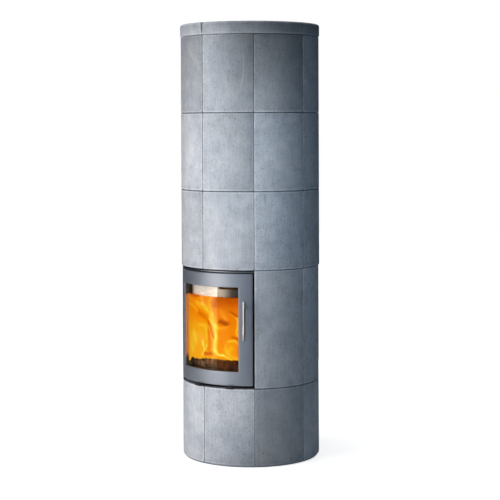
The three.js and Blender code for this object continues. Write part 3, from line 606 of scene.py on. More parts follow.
def dressed_copy(node, name, body, material, bevel=0.0006):
    """A copy of a CAD node with smooth faces and softened edges, which stands for it."""
    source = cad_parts[node]
    mesh = source.data.copy()
    mesh.materials.clear()
    mesh.materials.append(material)
    work = bmesh.new()
    work.from_mesh(mesh)
    bmesh.ops.remove_doubles(work, verts=work.verts, dist=1e-6)
    work.to_mesh(mesh)
    work.free()
    shade(mesh, COPY_CREASE)
    piece = new_object(name, mesh)
    edge = piece.modifiers.new("softened_edges", "BEVEL")
    edge.width = bevel
    edge.segments = 2
    edge.limit_method = "ANGLE"
    edge.angle_limit = math.radians(COPY_CREASE + 10)
    edge.harden_normals = True
    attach(piece, body)
    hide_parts(node)


dressed_copy("rear_cover", "rear_sheet", "stove", black_paint)

# ---------------------------------------------------------------- firebox body
# A welded cylinder of 4 mm sheet with a thick front flange round the door opening. The outside is
# matt black, and the heat has burnt the inside and the flange to a sooty grey.

FIRE_GLARE = (0.80, 0.27, 0.05, 1.0)
GLARE_TURNS = (-0.60, -0.59, -0.545, -0.535)  # radians round the stove: rises, then fades
GLARE_HEIGHTS = (0.405, 0.43, 0.66, 0.675)


def fire_shine(start):
    """The fire's glare on the left edge of the window's seals."""
    turn, height = turn_and_height(start)
    return turn.within(*GLARE_TURNS) * height.within(*GLARE_HEIGHTS)


def sooty_steel(name, glare=0.0):
    start = new_material(name)
    place = object_space(start)
    soot = place.cloud(14, 5, 0.6)
    scale = place.cloud(300, 3)
    return principled(
        start,
        Base_Color=(0.6 + soot * 0.7 + scale * 0.2).tinted((0.030, 0.028, 0.027, 1.0)),
        Roughness=0.55 + soot * 0.3,
        Metallic=0.2,
        Emission_Color=fire_shine(start).tinted(FIRE_GLARE),
        Emission_Strength=glare,
        Normal=(soot + scale).bump(0.3, 0.0006),
    )


sooted = sooty_steel("sooted_steel")
dressed_copy("firebox_body", "firebox_shell", "stove", sooted)

# ---------------------------------------------------------------- lining and hearth
# Boards of pressed vermiculite, cut to the curve and set loose in the firebox. The fire has turned
# them from buff to a patchy grey-brown, blacker towards the top.


def vermiculite():
    start = new_material("fired_vermiculite")
    place = object_space(start)
    flakes = place.node("TexVoronoi", {}, {"Vector": place, "Scale": 330.0}, "Distance")
    patches = place.cloud(11, 5, 0.6, 0.8)
    grain = place.cloud(500, 2)
    tone = 0.55 + patches * 0.6 + flakes * 0.3 + (grain - 0.5) * 0.3
    colour = patches.between(0.35, 0.7).blend((0.19, 0.15, 0.11, 1.0), (0.40, 0.33, 0.25, 1.0))
    return principled(
        start,
        Base_Color=tone.tinted(colour),
        Roughness=0.9,
        Normal=(flakes + grain).bump(0.5, 0.0012),
    )


board = vermiculite()
for node in ("lining_left", "lining_right", "lining_back", "hearth_floor", "baffle_plate"):
    dressed_copy(node, node + "_board", "stove", board, bevel=0.0015)

# ---------------------------------------------------------------- grate and ash pan
# A slotted cast-iron grate let into the hearth, and below it a folded sheet-metal pan. Both are
# grey with ash.


def ashy_metal(name, colour, roughness, metallic, ash_share):
    start = new_material(name)
    place = object_space(start)
    cast = place.cloud(260, 3)
    ash = place.cloud(45, 4, 0.65).between(1.0 - ash_share, 1.15 - ash_share)
    body = (0.8 + cast * 0.4).tinted((*colour, 1.0))
    return principled(
        start,
        Base_Color=ash.blend(body, (0.33, 0.32, 0.31, 1.0)),
        Roughness=roughness + ash * 0.3,
        Metallic=metallic * (1.0 - ash * 0.8),
        Normal=(cast + ash).bump(0.4, 0.001),
    )


grate_iron = ashy_metal("ashy_cast_iron", (0.045, 0.042, 0.04), 0.55, 0.6, 0.5)
pan_sheet = ashy_metal("ashy_sheet_steel", (0.36, 0.36, 0.37), 0.35, 0.9, 0.6)
dressed_copy("fire_grate", "grate_casting", "stove", grate_iron, bevel=0.001)
dressed_copy("ash_pan", "ash_pan_sheet", "stove", pan_sheet)

# ---------------------------------------------------------------- air-wash deflector
# A polished stainless strip bent to the opening behind the top of the window. It turns the air
# down over the glass. Its colour holds a painted reflection of the tall panel as far as a clear
# step, and painted shade beyond.

DEFLECTOR_HALF_ANGLE = 33.5
DEFLECTOR_SHEET = 0.0025
DEFLECTOR_SHELF_RADIUS = 0.216
DEFLECTOR_SHELF_HALF_ANGLE = 39.4
DEFLECTOR_SLOT_ANGLES = (11.0, 33.0)
DEFLECTOR_SLOT_HEIGHTS = (0.703, 0.711)
DEFLECTOR_STEP = (0.154, 0.166)  # radians round the stove: the painted reflection of the panel ends here
SHEET_ROUNDING = 0.0004


def deflector_steel():
    start = new_material("stainless_with_painted_reflection")
    brushed = object_space(start).stretched((30.0, 30.0, 900.0)).cloud(1, 3)
    turn = turn_and_height(start)[0]
    # Painted reflection of the tall panel on the left, fading at the left end, and painted shade
    # right of the step.
    painted_reflection = turn.between(-0.60, -0.42).blend((0.30, 0.24, 0.19, 1.0), (0.98, 0.93, 0.87, 1.0))
    painted_shade_beyond = turn.between(0.16, 0.46).blend((0.46, 0.40, 0.33, 1.0), (0.05, 0.04, 0.03, 1.0))
    step = turn.between(*DEFLECTOR_STEP)
    return principled(
        start,
        Base_Color=(0.9 + brushed * 0.2).tinted(step.blend(painted_reflection, painted_shade_beyond)),
        Roughness=0.26 + (brushed - 0.5) * 0.16,
        Metallic=0.3,
        Normal=brushed.bump(0.05, 0.0003),
    )


deflector_low, deflector_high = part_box("air_wash_deflector")
deflector_radius = -deflector_low.y
deflector_inner = deflector_radius - DEFLECTOR_SHEET


def strip(start, end, bottom, top):
    """A piece of the deflector's face between two angles and two heights."""
    radii = (deflector_inner, deflector_radius)
    return bent_solid(*radii, start, end, bottom, top, SHEET_ROUNDING, column=1.0)


def together(*shapes):
    """Several shapes as one mesh."""
    vertices = []
    faces = []
    for points, sides in shapes:
        shift = len(vertices)
        vertices += list(points)
        faces += [tuple(index + shift for index in side) for side in sides]
    return vertices, faces


slot_start, slot_end = DEFLECTOR_SLOT_ANGLES
slot_bottom, slot_top = DEFLECTOR_SLOT_HEIGHTS
face_heights = (deflector_low.z, deflector_high.z)
shelf = bent_solid(
    DEFLECTOR_SHELF_RADIUS,
    deflector_inner,
    -DEFLECTOR_SHELF_HALF_ANGLE,
    DEFLECTOR_SHELF_HALF_ANGLE,
    deflector_high.z - DEFLECTOR_SHEET,
    deflector_high.z,
    SHEET_ROUNDING,
)
deflector_shape = together(
    strip(-DEFLECTOR_HALF_ANGLE, slot_start, *face_heights),
    strip(slot_start, slot_end, deflector_low.z, slot_bottom),
    strip(slot_start, slot_end, slot_top, deflector_high.z),
    strip(slot_end, DEFLECTOR_HALF_ANGLE, *face_heights),
    shelf,
)
deflector_finish = deflector_steel()
add_piece(
    "deflector_strip", "stove", deflector_shape, deflector_finish, "air_wash_deflector", "stainless"
)

# ---------------------------------------------------------------- lintel over the door
# A bent stainless strip that closes the gap between the door and the stones above it. Only its
# thin lip shows, as a light line between two dark ones.
# The ledge above the lip carries painted shade.


def stainless_steel(
    name, roughness, along=(900.0, 900.0, 20.0), colour=(0.66, 0.665, 0.68), shaded_above=9.0
):
    """Steel brushed along the axis with the fewest waves, and painted nearly black above a height,
    as shade.
    """
    start = new_material(name)
    place = object_space(start)
    # Painted shade: the colour goes nearly black above the given height.
    soot = turn_and_height(start)[1].between(shaded_above, shaded_above + 0.0006)
    brushed = place.stretched(along).cloud(1, 3, 0.6)
    handled = place.cloud(30, 4)
    return principled(
        start,
        Base_Color=((0.92 + brushed * 0.12) * (1.0 - soot * 0.92)).tinted((*colour, 1.0)),
        Roughness=roughness * (1.0 + (brushed - 0.5) * 0.5 + (handled - 0.5) * 0.3),
        Metallic=1.0,
        Normal=brushed.bump(0.06, 0.0003),
    )


lintel_low, lintel_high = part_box("door_lintel")
LINTEL_HALF_ANGLE = 44.8
LINTEL_INNER_RADIUS = 0.236
LINTEL_LEDGE_RADIUS = 0.275
LINTEL_LIP = 0.0044
LINTEL_UNSHADED = 0.0036  # the height of the lip below the painted shade
lip_top = lintel_low.z + LINTEL_LIP
lintel_steel = stainless_steel(
    "brushed_stainless_strip",
    0.34,
    (30.0, 30.0, 900.0),
    (0.36, 0.38, 0.42),
    lintel_low.z + LINTEL_UNSHADED,
)
lintel_ends = (-LINTEL_HALF_ANGLE, LINTEL_HALF_ANGLE)
lip = bent_solid(
    LINTEL_INNER_RADIUS, -lintel_low.y, *lintel_ends, lintel_low.z, lip_top, 0.0006, column=1.0
)
ledge = bent_solid(
    LINTEL_INNER_RADIUS,
    LINTEL_LEDGE_RADIUS,
    *lintel_ends,
    lip_top,
    lintel_high.z,
    SHEET_ROUNDING,
)
lintel_shape = together(lip, ledge)
add_piece("lintel_strip", "stove", lintel_shape, lintel_steel, "door_lintel", "stainless")

# ---------------------------------------------------------------- door frame
# A steel casting bent to the mantle's curve, with a rebate for the glass, two hinge bores and the
# handle's bore. It is sprayed satin metallic grey inside and out.

WINDOW_HALF_ANGLE = 31.8
WINDOW_BOTTOM = 0.380
WINDOW_TOP = 0.7155
GLASS_LAP = 0.014
DOOR_SKIN = 0.006
DOOR_THICKNESS = 0.020
DOOR_ROUNDING = 0.0022
DOOR_CORNER = 0.004
WINDOW_ROUNDING = 0.0012
WINDOW_CORNER = 0.003
SHARP_CORNER = 0.0003
DOOR_CORNER_STEPS = 4
LEVEL_SIDE_STEPS = 60
UPRIGHT_SIDE_STEPS = 24
FRONT_RINGS = 8  # rings of faces between the front's edge and the window
BACK_RINGS = 6
PIN_BORE_RADIUS = 0.0056
SPINDLE_BORE_RADIUS = 0.0066
BORE_OVERRUN = 0.01
BORE_PLAY = 0.001
HANDLE_ANGLE = 37.0

door_low, door_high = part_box("door_frame")
DOOR_RADIUS = -door_low.y
DOOR_HALF_ANGLE = math.degrees(math.asin(door_high.x / DOOR_RADIUS))
DOOR_INNER_RADIUS = DOOR_RADIUS - DOOR_THICKNESS


def frame_loop(half_angle, bottom, top, radius, corner):
    """A rectangle with rounded corners, bent to that radius, as evenly matched points."""
    half = math.radians(half_angle) * DOOR_RADIUS
    centres = (
        (half - corner, bottom + corner, -90),
        (half - corner, top - corner, 0),
        (-half + corner, top - corner, 90),
        (-half + corner, bottom + corner, 180),
    )
    flat = []
    for index, (across, height, first) in enumerate(centres):
        for i in range(DOOR_CORNER_STEPS + 1):
            turn = math.radians(first + 90 * i / DOOR_CORNER_STEPS)
            flat.append((across + corner * math.cos(turn), height + corner * math.sin(turn)))
        following = centres[(index + 1) % 4]
        steps = LEVEL_SIDE_STEPS if index in (1, 3) else UPRIGHT_SIDE_STEPS
        start_point = flat[-1]
        turn = math.radians(following[2])
        end_point = (following[0] + corner * math.cos(turn), following[1] + corner * math.sin(turn))
        for i in range(1, steps):
            share = i / steps
            flat.append(tuple(a + (b - a) * share for a, b in zip(start_point, end_point)))
    return [around(math.degrees(across / DOOR_RADIUS), radius, height) for across, height in flat]


def frame_rings(stations):
    """Loops through (half_angle, bottom, top, radius, corner, steps to the next) stations."""
    rings = []
    for index, (*station, steps) in enumerate(stations):
        following = stations[(index + 1) % len(stations)][:5]
        for i in range(steps):
            share = i / steps
            rings.append(frame_loop(*[a + (b - a) * share for a, b in zip(station, following)]))
    return rings


def rounded_stations(sign, half_angle, bottom, top, rounding, corner):
    """A quarter-round edge from the frame's side (sign 1) or window (sign -1) to its front."""
    stations = []
    for draw, rise in quarter_round(rounding, 3):
        inset = rise * sign
        angle = half_angle - math.degrees(inset / DOOR_RADIUS)
        room = max(corner - inset, SHARP_CORNER)
        stations.append([angle, bottom + inset, top - inset, DOOR_RADIUS - draw, room, 1])
    return stations


outline = (DOOR_HALF_ANGLE, door_low.z, door_high.z)
window = (WINDOW_HALF_ANGLE, WINDOW_BOTTOM, WINDOW_TOP)
lap = math.degrees(GLASS_LAP / DOOR_RADIUS)
rebate = (WINDOW_HALF_ANGLE + lap, WINDOW_BOTTOM - GLASS_LAP, WINDOW_TOP + GLASS_LAP)
edge_stations = rounded_stations(1, *outline, DOOR_ROUNDING, DOOR_CORNER)
window_stations = rounded_stations(-1, *window, WINDOW_ROUNDING, WINDOW_CORNER)
edge_stations[-1][-1] = FRONT_RINGS
stations = [
    [*outline, DOOR_INNER_RADIUS, DOOR_CORNER, 1],
    *edge_stations,
    *reversed(window_stations),
    [*window, DOOR_RADIUS - DOOR_SKIN, WINDOW_CORNER, 2],
    [*rebate, DOOR_RADIUS - DOOR_SKIN, SHARP_CORNER, 1],
    [*rebate, DOOR_INNER_RADIUS, SHARP_CORNER, BACK_RINGS],
]
door_shape = loft(frame_rings(stations), closed=True)
door_piece = add_piece("door_casting", "door", door_shape, grey_paint, "door_frame", "door_paint")


def rod(start, end, radius):
    """A plain round cutter between two points."""
    axis = (end - start).normalized()
    side = axis.orthogonal().normalized()
    return revolved([(radius, 0.0), (radius, (end - start).length)], start, axis, side, 32)


def bore(piece, *cutters):
    """Cuts round holes through a piece and drops the cutters."""
    tool = new_object("cutters", new_mesh("cutters", together(*cutters)))
    cut = piece.modifiers.new("bores", "BOOLEAN")
    cut.object = tool
    cut.solver = "EXACT"
    bpy.context.view_layer.update()
    cut_piece = piece.evaluated_get(bpy.context.evaluated_depsgraph_get())
    bored = bpy.data.meshes.new_from_object(cut_piece)
    piece.modifiers.clear()
    piece.data = bored
    shade(bored, CREASE)
    bpy.data.objects.remove(tool)


pin_low, pin_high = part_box("hinge_pin_bottom")
pin_x = (pin_low.x + pin_high.x) / 2
pin_y = (pin_low.y + pin_high.y) / 2
top_pin_low, top_pin_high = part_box("hinge_pin_top")
spindle_low, spindle_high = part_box("handle_spindle")
spindle_height = (spindle_low.z + spindle_high.z) / 2


def pin_bore(bottom, top):
    return rod(Vector((pin_x, pin_y, bottom)), Vector((pin_x, pin_y, top)), PIN_BORE_RADIUS)


bore(
    door_piece,
    pin_bore(door_low.z - BORE_OVERRUN, pin_high.z + BORE_PLAY),
    pin_bore(top_pin_low.z - BORE_PLAY, door_high.z + BORE_OVERRUN),
    rod(
        around(HANDLE_ANGLE, DOOR_INNER_RADIUS - BORE_OVERRUN, spindle_height),
        around(HANDLE_ANGLE, DOOR_RADIUS + BORE_OVERRUN, spindle_height),
        SPINDLE_BORE_RADIUS,
    ),
)

# ---------------------------------------------------------------- door glass and its seals
# One bent pane of 4 mm ceramic glass, clamped behind the frame between a woven tape and a folded
# steel clamp. A braided rope on the frame's back seals the door against the firebox.

glass_low, glass_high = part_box("door_glass")
GLASS_RADIUS = -glass_low.y
GLASS_THICKNESS = 0.004
GLASS_ROUNDING = 0.0006
SEAL_GLARE = 0.9
REFLECTION_EDGE = (0.202, 0.210)  # radians round the stove: right of it the reflection is painted weaker


def ceramic_glass():
    start = new_material("ceramic_glass")
    haze = object_space(start).cloud(18, 3)
    # Painted reflection edge: the glass reflects less right of the given angle.
    weaker_reflection = turn_and_height(start)[0].between(*REFLECTION_EDGE)
    clear = start.node("BsdfTransparent", {}, {"Color": (0.985, 0.98, 0.97, 1.0)})
    shine = start.node("BsdfGlossy", {}, {"Color": (1.0, 0.74, 0.40, 1.0), "Roughness": 0.01})
    grazing = start.node("LayerWeight", {}, {"Blend": 0.5}, "Facing")
    gloss = (0.026 + grazing**5 * 0.8 + haze * 0.004) * (1.0 - weaker_reflection * 0.8)
    mixed = start.node("MixShader", {}, {0: gloss, 1: clear, 2: shine})
    start.node("OutputMaterial", {}, {"Surface": mixed})
    return start.owner


glass_half = math.degrees(math.asin(glass_high.x / GLASS_RADIUS))
glass_inner = GLASS_RADIUS - GLASS_THICKNESS
glass_shape = bent_solid(
    glass_inner, GLASS_RADIUS, -glass_half, glass_half, glass_low.z, glass_high.z, GLASS_ROUNDING
)
add_piece("window_pane", "door", glass_shape, ceramic_glass(), "door_glass", "fire_glass")


def woven_tape():
    start = new_material("glass_fibre_braid")
    place = object_space(start)
    threads = {"Vector": place.stretched((1.0, 1.0, 0.7)), "Scale": 420.0}
    weave = place.node("TexVoronoi", {}, threads, "Distance")
    soot = place.cloud(20, 3)
    return principled(
        start,
        Base_Color=(0.5 + weave + soot * 0.4).tinted((0.055, 0.054, 0.053, 1.0)),
        Roughness=0.95,
        Emission_Color=fire_shine(start).tinted(FIRE_GLARE),
        Emission_Strength=SEAL_GLARE,
        Normal=weave.bump(0.8, 0.002),
    )


braid = woven_tape()
clamp_steel = sooty_steel("sooted_clamp_steel", SEAL_GLARE)
dressed_copy("glass_gasket", "glass_tape", "door", braid)
dressed_copy("door_rope", "door_seal", "door", braid, bevel=0.0018)
dressed_copy("glass_clamp", "glass_clamp_frame", "door", clamp_steel)

# ---------------------------------------------------------------- hinge pins
# Turned steel pins with a collar, one pressed into the body's lug and one into its roof. The door
# hangs on them and lifts off when the upper one is drawn.

pin_steel = stainless_steel("turned_steel", 0.3, (60.0, 60.0, 900.0))
PIN_RADIUS = 0.005
PIN_COLLAR_RADIUS = 0.008
PIN_CHAMFER = 0.001
PIN_COLLAR_ROUNDING = 0.0006
DOOR_PLAY = 0.0006  # between the door and what lies against it


def closed_off(profile):
    """A profile with points next to the axis added at its two ends."""
    return [(POLE, profile[0][1]), *profile, (POLE, profile[-1][1])]


def hinge_pin(node, name, collar_bottom, collar_top, low, high):
    tip = PIN_RADIUS - PIN_CHAMFER
    lowest, highest = low.z + PIN_CHAMFER, high.z - PIN_CHAMFER
    profile = rounded_profile(PIN_COLLAR_RADIUS, collar_bottom, collar_top, PIN_COLLAR_ROUNDING)
    if collar_bottom > lowest:
        profile = [(tip, low.z), (PIN_RADIUS, lowest), (PIN_RADIUS, collar_bottom), *profile]
    if collar_top < highest:
        profile += [(PIN_RADIUS, collar_top), (PIN_RADIUS, highest), (tip, high.z)]
    shape = turned(closed_off(profile), 40, (pin_x, pin_y))
    add_piece(name, "stove", shape, pin_steel, node, "pin_steel")


lower_collar = (pin_low.z, door_low.z - DOOR_PLAY)
upper_collar = (door_high.z + DOOR_PLAY, top_pin_high.z)
hinge_pin("hinge_pin_bottom", "lower_hinge_pin", *lower_collar, pin_low, pin_high)
hinge_pin("hinge_pin_top", "upper_hinge_pin", *upper_collar, top_pin_low, top_pin_high)

# ---------------------------------------------------------------- handle
# A polished stainless bar that hangs upright from a short spindle through the door. Behind the
# door the spindle carries a flat steel hook, which reaches behind the body's edge.

grip_low, grip_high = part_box("handle_grip")
grip_x = (grip_low.x + grip_high.x) / 2
grip_y = (grip_low.y + grip_high.y) / 2
GRIP_RADIUS = 0.00625
GRIP_ROUNDING = 0.0025

polished = stainless_steel("polished_stainless_bar", 0.10, colour=(0.93, 0.93, 0.94))
grip_profile = closed_off(rounded_profile(GRIP_RADIUS, grip_low.z, grip_high.z, GRIP_ROUNDING, 6))
grip_shape = turned(grip_profile, 48, (grip_x, grip_y))
add_piece("handle_bar", "handle", grip_shape, polished, "handle_grip", "stainless")

SPINDLE_RADIUS = 0.006
SPINDLE_ROOT = 0.232  # distance of its inner end from the stove's axis
SPINDLE_PLAY = 0.0003  # between its outer end and the bar
ROSE_RADIUS = 0.010
ROSE_THICKNESS = 0.002
ROSE_EDGE = ROSE_THICKNESS * 0.6
CHAMFER = 0.001

spindle_tip = math.hypot(grip_x, grip_y) - GRIP_RADIUS - SPINDLE_PLAY
rose_inner = DOOR_RADIUS + DOOR_PLAY
spindle_profile = closed_off([
    (SPINDLE_RADIUS - CHAMFER, SPINDLE_ROOT),
    (SPINDLE_RADIUS, SPINDLE_ROOT + CHAMFER),
    (SPINDLE_RADIUS, rose_inner),
    (ROSE_RADIUS, rose_inner),
    (ROSE_RADIUS, rose_inner + ROSE_EDGE),
    (ROSE_RADIUS - CHAMFER, rose_inner + ROSE_THICKNESS),
    (SPINDLE_RADIUS, rose_inner + ROSE_THICKNESS),
    (SPINDLE_RADIUS, spindle_tip),
])
spindle_shape = revolved(
    spindle_profile,
    Vector((0, 0, spindle_height)),
    around(HANDLE_ANGLE, 1.0),
    around(HANDLE_ANGLE + 90, 1.0),
    40,
)
add_piece("handle_post", "handle", spindle_shape, pin_steel, "handle_spindle", "pin_steel")
dressed_copy("latch_hook", "latch_tongue", "handle", sooted)

# ---------------------------------------------------------------- air slides
# Curved steel plates that run on rails under the firebox floor. Each has a tongue through the
# body, with a black knob below the door for the hand.

for body in ("primary_air", "secondary_air"):
    dressed_copy(f"{body}_slide", f"{body}_control", body, black_paint, bevel=0.001)

# ---------------------------------------------------------------- smoke path and storage core
# A black steel riser leads the smoke up through two blocks of rough storage stone and out through
# the collar at the back.

dressed_copy("flue_riser", "riser_pipe", "stove", black_paint)
dressed_copy("flue_collar", "collar_pipe", "stove", black_paint)


def rough_stone():
    start = new_material("sawn_storage_stone")
    place = object_space(start)
    clouds = place.cloud(9, 5, 0.6)
    grit = place.cloud(380, 3, 0.7)
    return principled(
        start,
        Base_Color=(0.7 + clouds * 0.35 + grit * 0.25).tinted((0.30, 0.31, 0.33, 1.0)),
        Roughness=0.9,
        Normal=grit.bump(0.5, 0.0015),
    )


storage_stone = rough_stone()
for level in ("lower", "upper"):
    node = f"storage_core_{level}"
    name = f"{level}_storage_block"
    dressed_copy(node, name, "stove", storage_stone, bevel=0.002)

# ---------------------------------------------------------------- logs
# Two split logs on the hearth, charred into small blocks by upright cracks, with pale ash at their
# left ends. Thin glowing lines show in the cracks towards the right.

BLACK = (0.0, 0.0, 0.0, 1.0)
EMBER = (0.9, 0.16, 0.01, 1.0)
CHAR = (0.030, 0.018, 0.011, 1.0)
SCORCHED = (0.125, 0.066, 0.036, 1.0)
ASHY_LEFT = 4.2  # how much paler the left ends are
SHADED_RIGHT = 0.85  # how much darker the right ends are


def charred_wood():
    start = new_material("charred_wood")
    lie = stored(start, "lie", "Vector")
    blocks = lie.node(
        "TexVoronoi",
        {"feature": "DISTANCE_TO_EDGE"},
        {"Vector": lie.stretched((1.0, 0.35, 0.16)), "Scale": 80.0},
    )
    crack = 1.0 - blocks.between(0.02, 0.16)
    fibre = lie.stretched((30.0, 420.0, 420.0)).cloud(1, 3)
    patch = lie.cloud(22, 3)
    tone = (0.35 + fibre * 1.2) * (1.0 - crack * 0.95)
    across = start.node("SeparateXYZ", {}, {0: object_space(start)})
    tone = tone * (1.0 + ASHY_LEFT - across.between(-0.12, 0.0) * ASHY_LEFT)
    tone = tone * (1.0 - across.between(-0.03, 0.05) * SHADED_RIGHT)
    glow = crack * (0.35 + patch.between(0.45, 0.6)) * across.between(-0.12, 0.10)
    return principled(
        start,
        Base_Color=tone.tinted(patch.between(0.42, 0.62).blend(CHAR, SCORCHED)),
        Roughness=0.85,
        Emission_Color=glow.blend(BLACK, EMBER),
        Emission_Strength=0.12,
        Normal=(fibre * 0.3 - crack).bump(0.9, 0.003),
    )


charred = charred_wood()
LOG_STEPS = 44
LOG_SECTION_POINTS = 40
LOG_FLAT = -0.93  # share of the radius at which the split underside lies
LOG_END = 0.93  # share of the half length past which the log tapers
LOG_END_TAPER = 0.10
LOG_PLAY = 0.0002
LOG_END_PLAY = 0.002
LOG_SIZE = 0.93  # share of the radius, before the bumps
LOG_BUMPS = ((2.2, 1.0, 0.05), (9, 3.4, 0.04), (30, 9, 0.02))  # waves along and across, and depth


def split_log(node, name, seed):
    """A D-shaped split log along X that swells, splits and chips about the CAD log."""
    low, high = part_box(node)
    middle = (low + high) / 2
    radius = (high.z - low.z) / 2
    half_length = (high.x - low.x) / 2 - LOG_END_PLAY
    shift = Vector((random.Random(seed).uniform(0, 9), 0, 0))
    rings = []
    lies = []
    for i in range(LOG_STEPS + 1):
        along = -1 + 2 * i / LOG_STEPS
        taper = 1 - LOG_END_TAPER * max(0.0, abs(along) - LOG_END) / (1 - LOG_END)
        ring = []
        for j in range(LOG_SECTION_POINTS):
            turn = math.tau * j / LOG_SECTION_POINTS
            across, rise = math.cos(turn), max(math.sin(turn), LOG_FLAT)
            size = LOG_SIZE
            for waves_along, waves_across, depth in LOG_BUMPS:
                spot = Vector((along * waves_along, across * waves_across, rise * waves_across))
                size += depth * noise.noise(spot + shift)
            size = min(size * taper, 1.0)
            point = middle + Vector((
                along * half_length, across * radius * size * 0.98, rise * radius * size
            ))
            point.z = max(point.z, low.z + LOG_PLAY)
            ring.append(point)
            lies.append(shift + point)
        rings.append(ring)
    add_piece(name, "stove", loft(rings), charred, node, "bark", crease=60, lie=lies)


split_log("log_front", "front_log", 3)
split_log("log_rear", "rear_log", 8)

# ---------------------------------------------------------------- fire
# A wood fire that fills the mouth of the firebox: a curtain of flame that rises from the logs in
# bright folds with sooty hollows between them. It has no solid in the frame and rides on the stove.

FIRE_SIDES = (-33.5, 34.6)
FIRE_RADII = (0.2625, 0.2520)  # close behind the glass at its left edge, further in elsewhere
FIRE_TURN_IN = (-30.0, -18.0)
FIRE_BOTTOM = 0.395
FIRE_TOP = 0.6705
FIRE_COLUMNS = 150
FIRE_ROWS = 130
FIRE_RIPPLE = 0.002  # how far the curtain waves in and out
FIRE_STRAY = 0.0018  # how far a fold strays from its line
FIRE_FOOT = 0.421
FIRE_FOOT_WAVES = 0.003
FIRE_FOOT_FADE = 0.013
FIRE_HEAT_LEFT = 0.50
FIRE_HEAT_LOW_LEFT = 0.14  # more than that low down
FIRE_HEAT_RIGHT = 0.54
FIRE_COLOURS = (
    (0.0, (0.36, 0.05, 0.0)),
    (0.25, (0.66, 0.115, 0.0)),
    (0.5, (0.98, 0.27, 0.002)),
    (0.7, (1.0, 0.48, 0.010)),
    (0.85, (1.0, 0.63, 0.03)),
    (1.0, (1.0, 0.86, 0.12)),
)
# Each fold is a line of (angle, height) points, its half width, and the heat that it adds.
FIRE_FOLDS = (
    (((-33, 0.631), (-26, 0.628), (-23, 0.620), (-16, 0.602)), 0.0026, 0.27),
    (((-18, 0.640), (-9, 0.632), (-2, 0.622)), 0.0150, 0.20),
    (((-4, 0.618), (2, 0.600)), 0.0100, 0.16),
    (((5, 0.670), (0, 0.656), (-1, 0.648), (1, 0.632), (4, 0.613), (5, 0.590)), 0.0026, 0.23),
    (((3, 0.596), (6, 0.575), (9, 0.545)), 0.0120, 0.22),
    (((0, 0.584), (4, 0.569), (6, 0.549), (7.5, 0.530), (8.5, 0.506)), 0.0043, 0.32),
    (((8.0, 0.512), (7.0, 0.485), (6.5, 0.455)), 0.0100, 0.30),
    (((6, 0.493), (4.5, 0.458)), 0.0026, 0.19),
    (((7, 0.454), (10, 0.443), (12.5, 0.438), (15.5, 0.439)), 0.0051, 0.48),
    (((15.5, 0.439), (19.5, 0.431), (23.5, 0.423)), 0.0034, 0.38),
    (((-9, 0.484), (-8.5, 0.472)), 0.0068, 0.34),
    (((-8, 0.474), (-7, 0.463), (-6, 0.451), (-8.5, 0.438), (-10, 0.429)), 0.0031, 0.35),
    (((-2.7, 0.474), (-4, 0.461), (-6, 0.452)), 0.0027, 0.35),
    (((-23, 0.515), (-21, 0.495), (-20, 0.477)), 0.0100, 0.20),
    (((-27, 0.500), (-26, 0.450)), 0.0120, 0.09),
    (((-25, 0.455), (-24, 0.440)), 0.0068, 0.11),
    (((-16, 0.550), (-7, 0.553), (-4, 0.541), (-2.7, 0.522), (-3, 0.500)), 0.0051, 0.18),
    (((7, 0.560), (9.5, 0.546), (15, 0.546), (19, 0.551), (22, 0.560)), 0.0034, 0.22),
    (((13.5, 0.616), (16.0, 0.597), (19.5, 0.581)), 0.0043, 0.20),
    (((29, 0.591), (30, 0.575), (29.7, 0.551), (28.5, 0.531), (30, 0.519)), 0.0031, 0.38),
    (((20.5, 0.493), (24.5, 0.498), (27.5, 0.499), (30, 0.487)), 0.0043, 0.30),
    (((18.5, 0.481), (17.5, 0.461), (20.5, 0.445), (24.5, 0.434), (29, 0.425)), 0.0043, 0.19),
    (((21, 0.450), (24, 0.470)), 0.0100, 0.16),
    (((-1, 0.568), (1.8, 0.548), (3.6, 0.527), (5.2, 0.507)), 0.0043, -0.39),
    (((13, 0.573), (20.5, 0.566)), 0.0095, -0.30),
    (((17.5, 0.560), (17, 0.571)), 0.0043, -0.24),
    (((10.5, 0.566), (14, 0.579)), 0.0034, -0.19),
    (((22.7, 0.614), (26.5, 0.606), (29.3, 0.595)), 0.0038, -0.34),
    (((22.5, 0.607), (26.0, 0.599), (29.0, 0.588)), 0.0030, 0.19),
    (((24.5, 0.514), (29.2, 0.507)), 0.0031, -0.35),
    (((-15, 0.600), (-4, 0.582)), 0.0110, -0.16),
    (((-30, 0.668), (-21, 0.664), (-15, 0.668)), 0.0059, -0.27),
    (((-22, 0.652), (-11, 0.648)), 0.0038, -0.14),
    (((7.5, 0.660), (7, 0.638)), 0.0120, -0.27),
    (((-6, 0.437), (3, 0.441)), 0.0072, -0.37),
    (((-0.5, 0.530), (1, 0.490), (0.5, 0.460)), 0.0100, -0.20),
    (((31, 0.500), (31, 0.440)), 0.0068, -0.24),
)


def flame_material():
    start = new_material("wood_flame")
    heat = stored(start, "glow")
    cover = stored(start, "cover")
    drift = object_space(start).stretched((1.0, 1.0, 0.45))
    swirl = drift.cloud(26, 3, 0.5, 1.2)
    wisps = drift.cloud(75, 3, 0.55, 1.6)
    value = heat + (swirl - 0.5) * 0.10 + (wisps - 0.5) * 0.10
    return principled(
        start,
        Base_Color=BLACK,
        Roughness=1.0,
        Specular_IOR_Level=0.0,
        Emission_Color=value.node("ValToRGB", {"stops": FIRE_COLOURS}, {0: value}),
        Emission_Strength=1.0,
        Alpha=(cover + (wisps - 0.5) * 0.9).between(0.25, 0.55),
    )


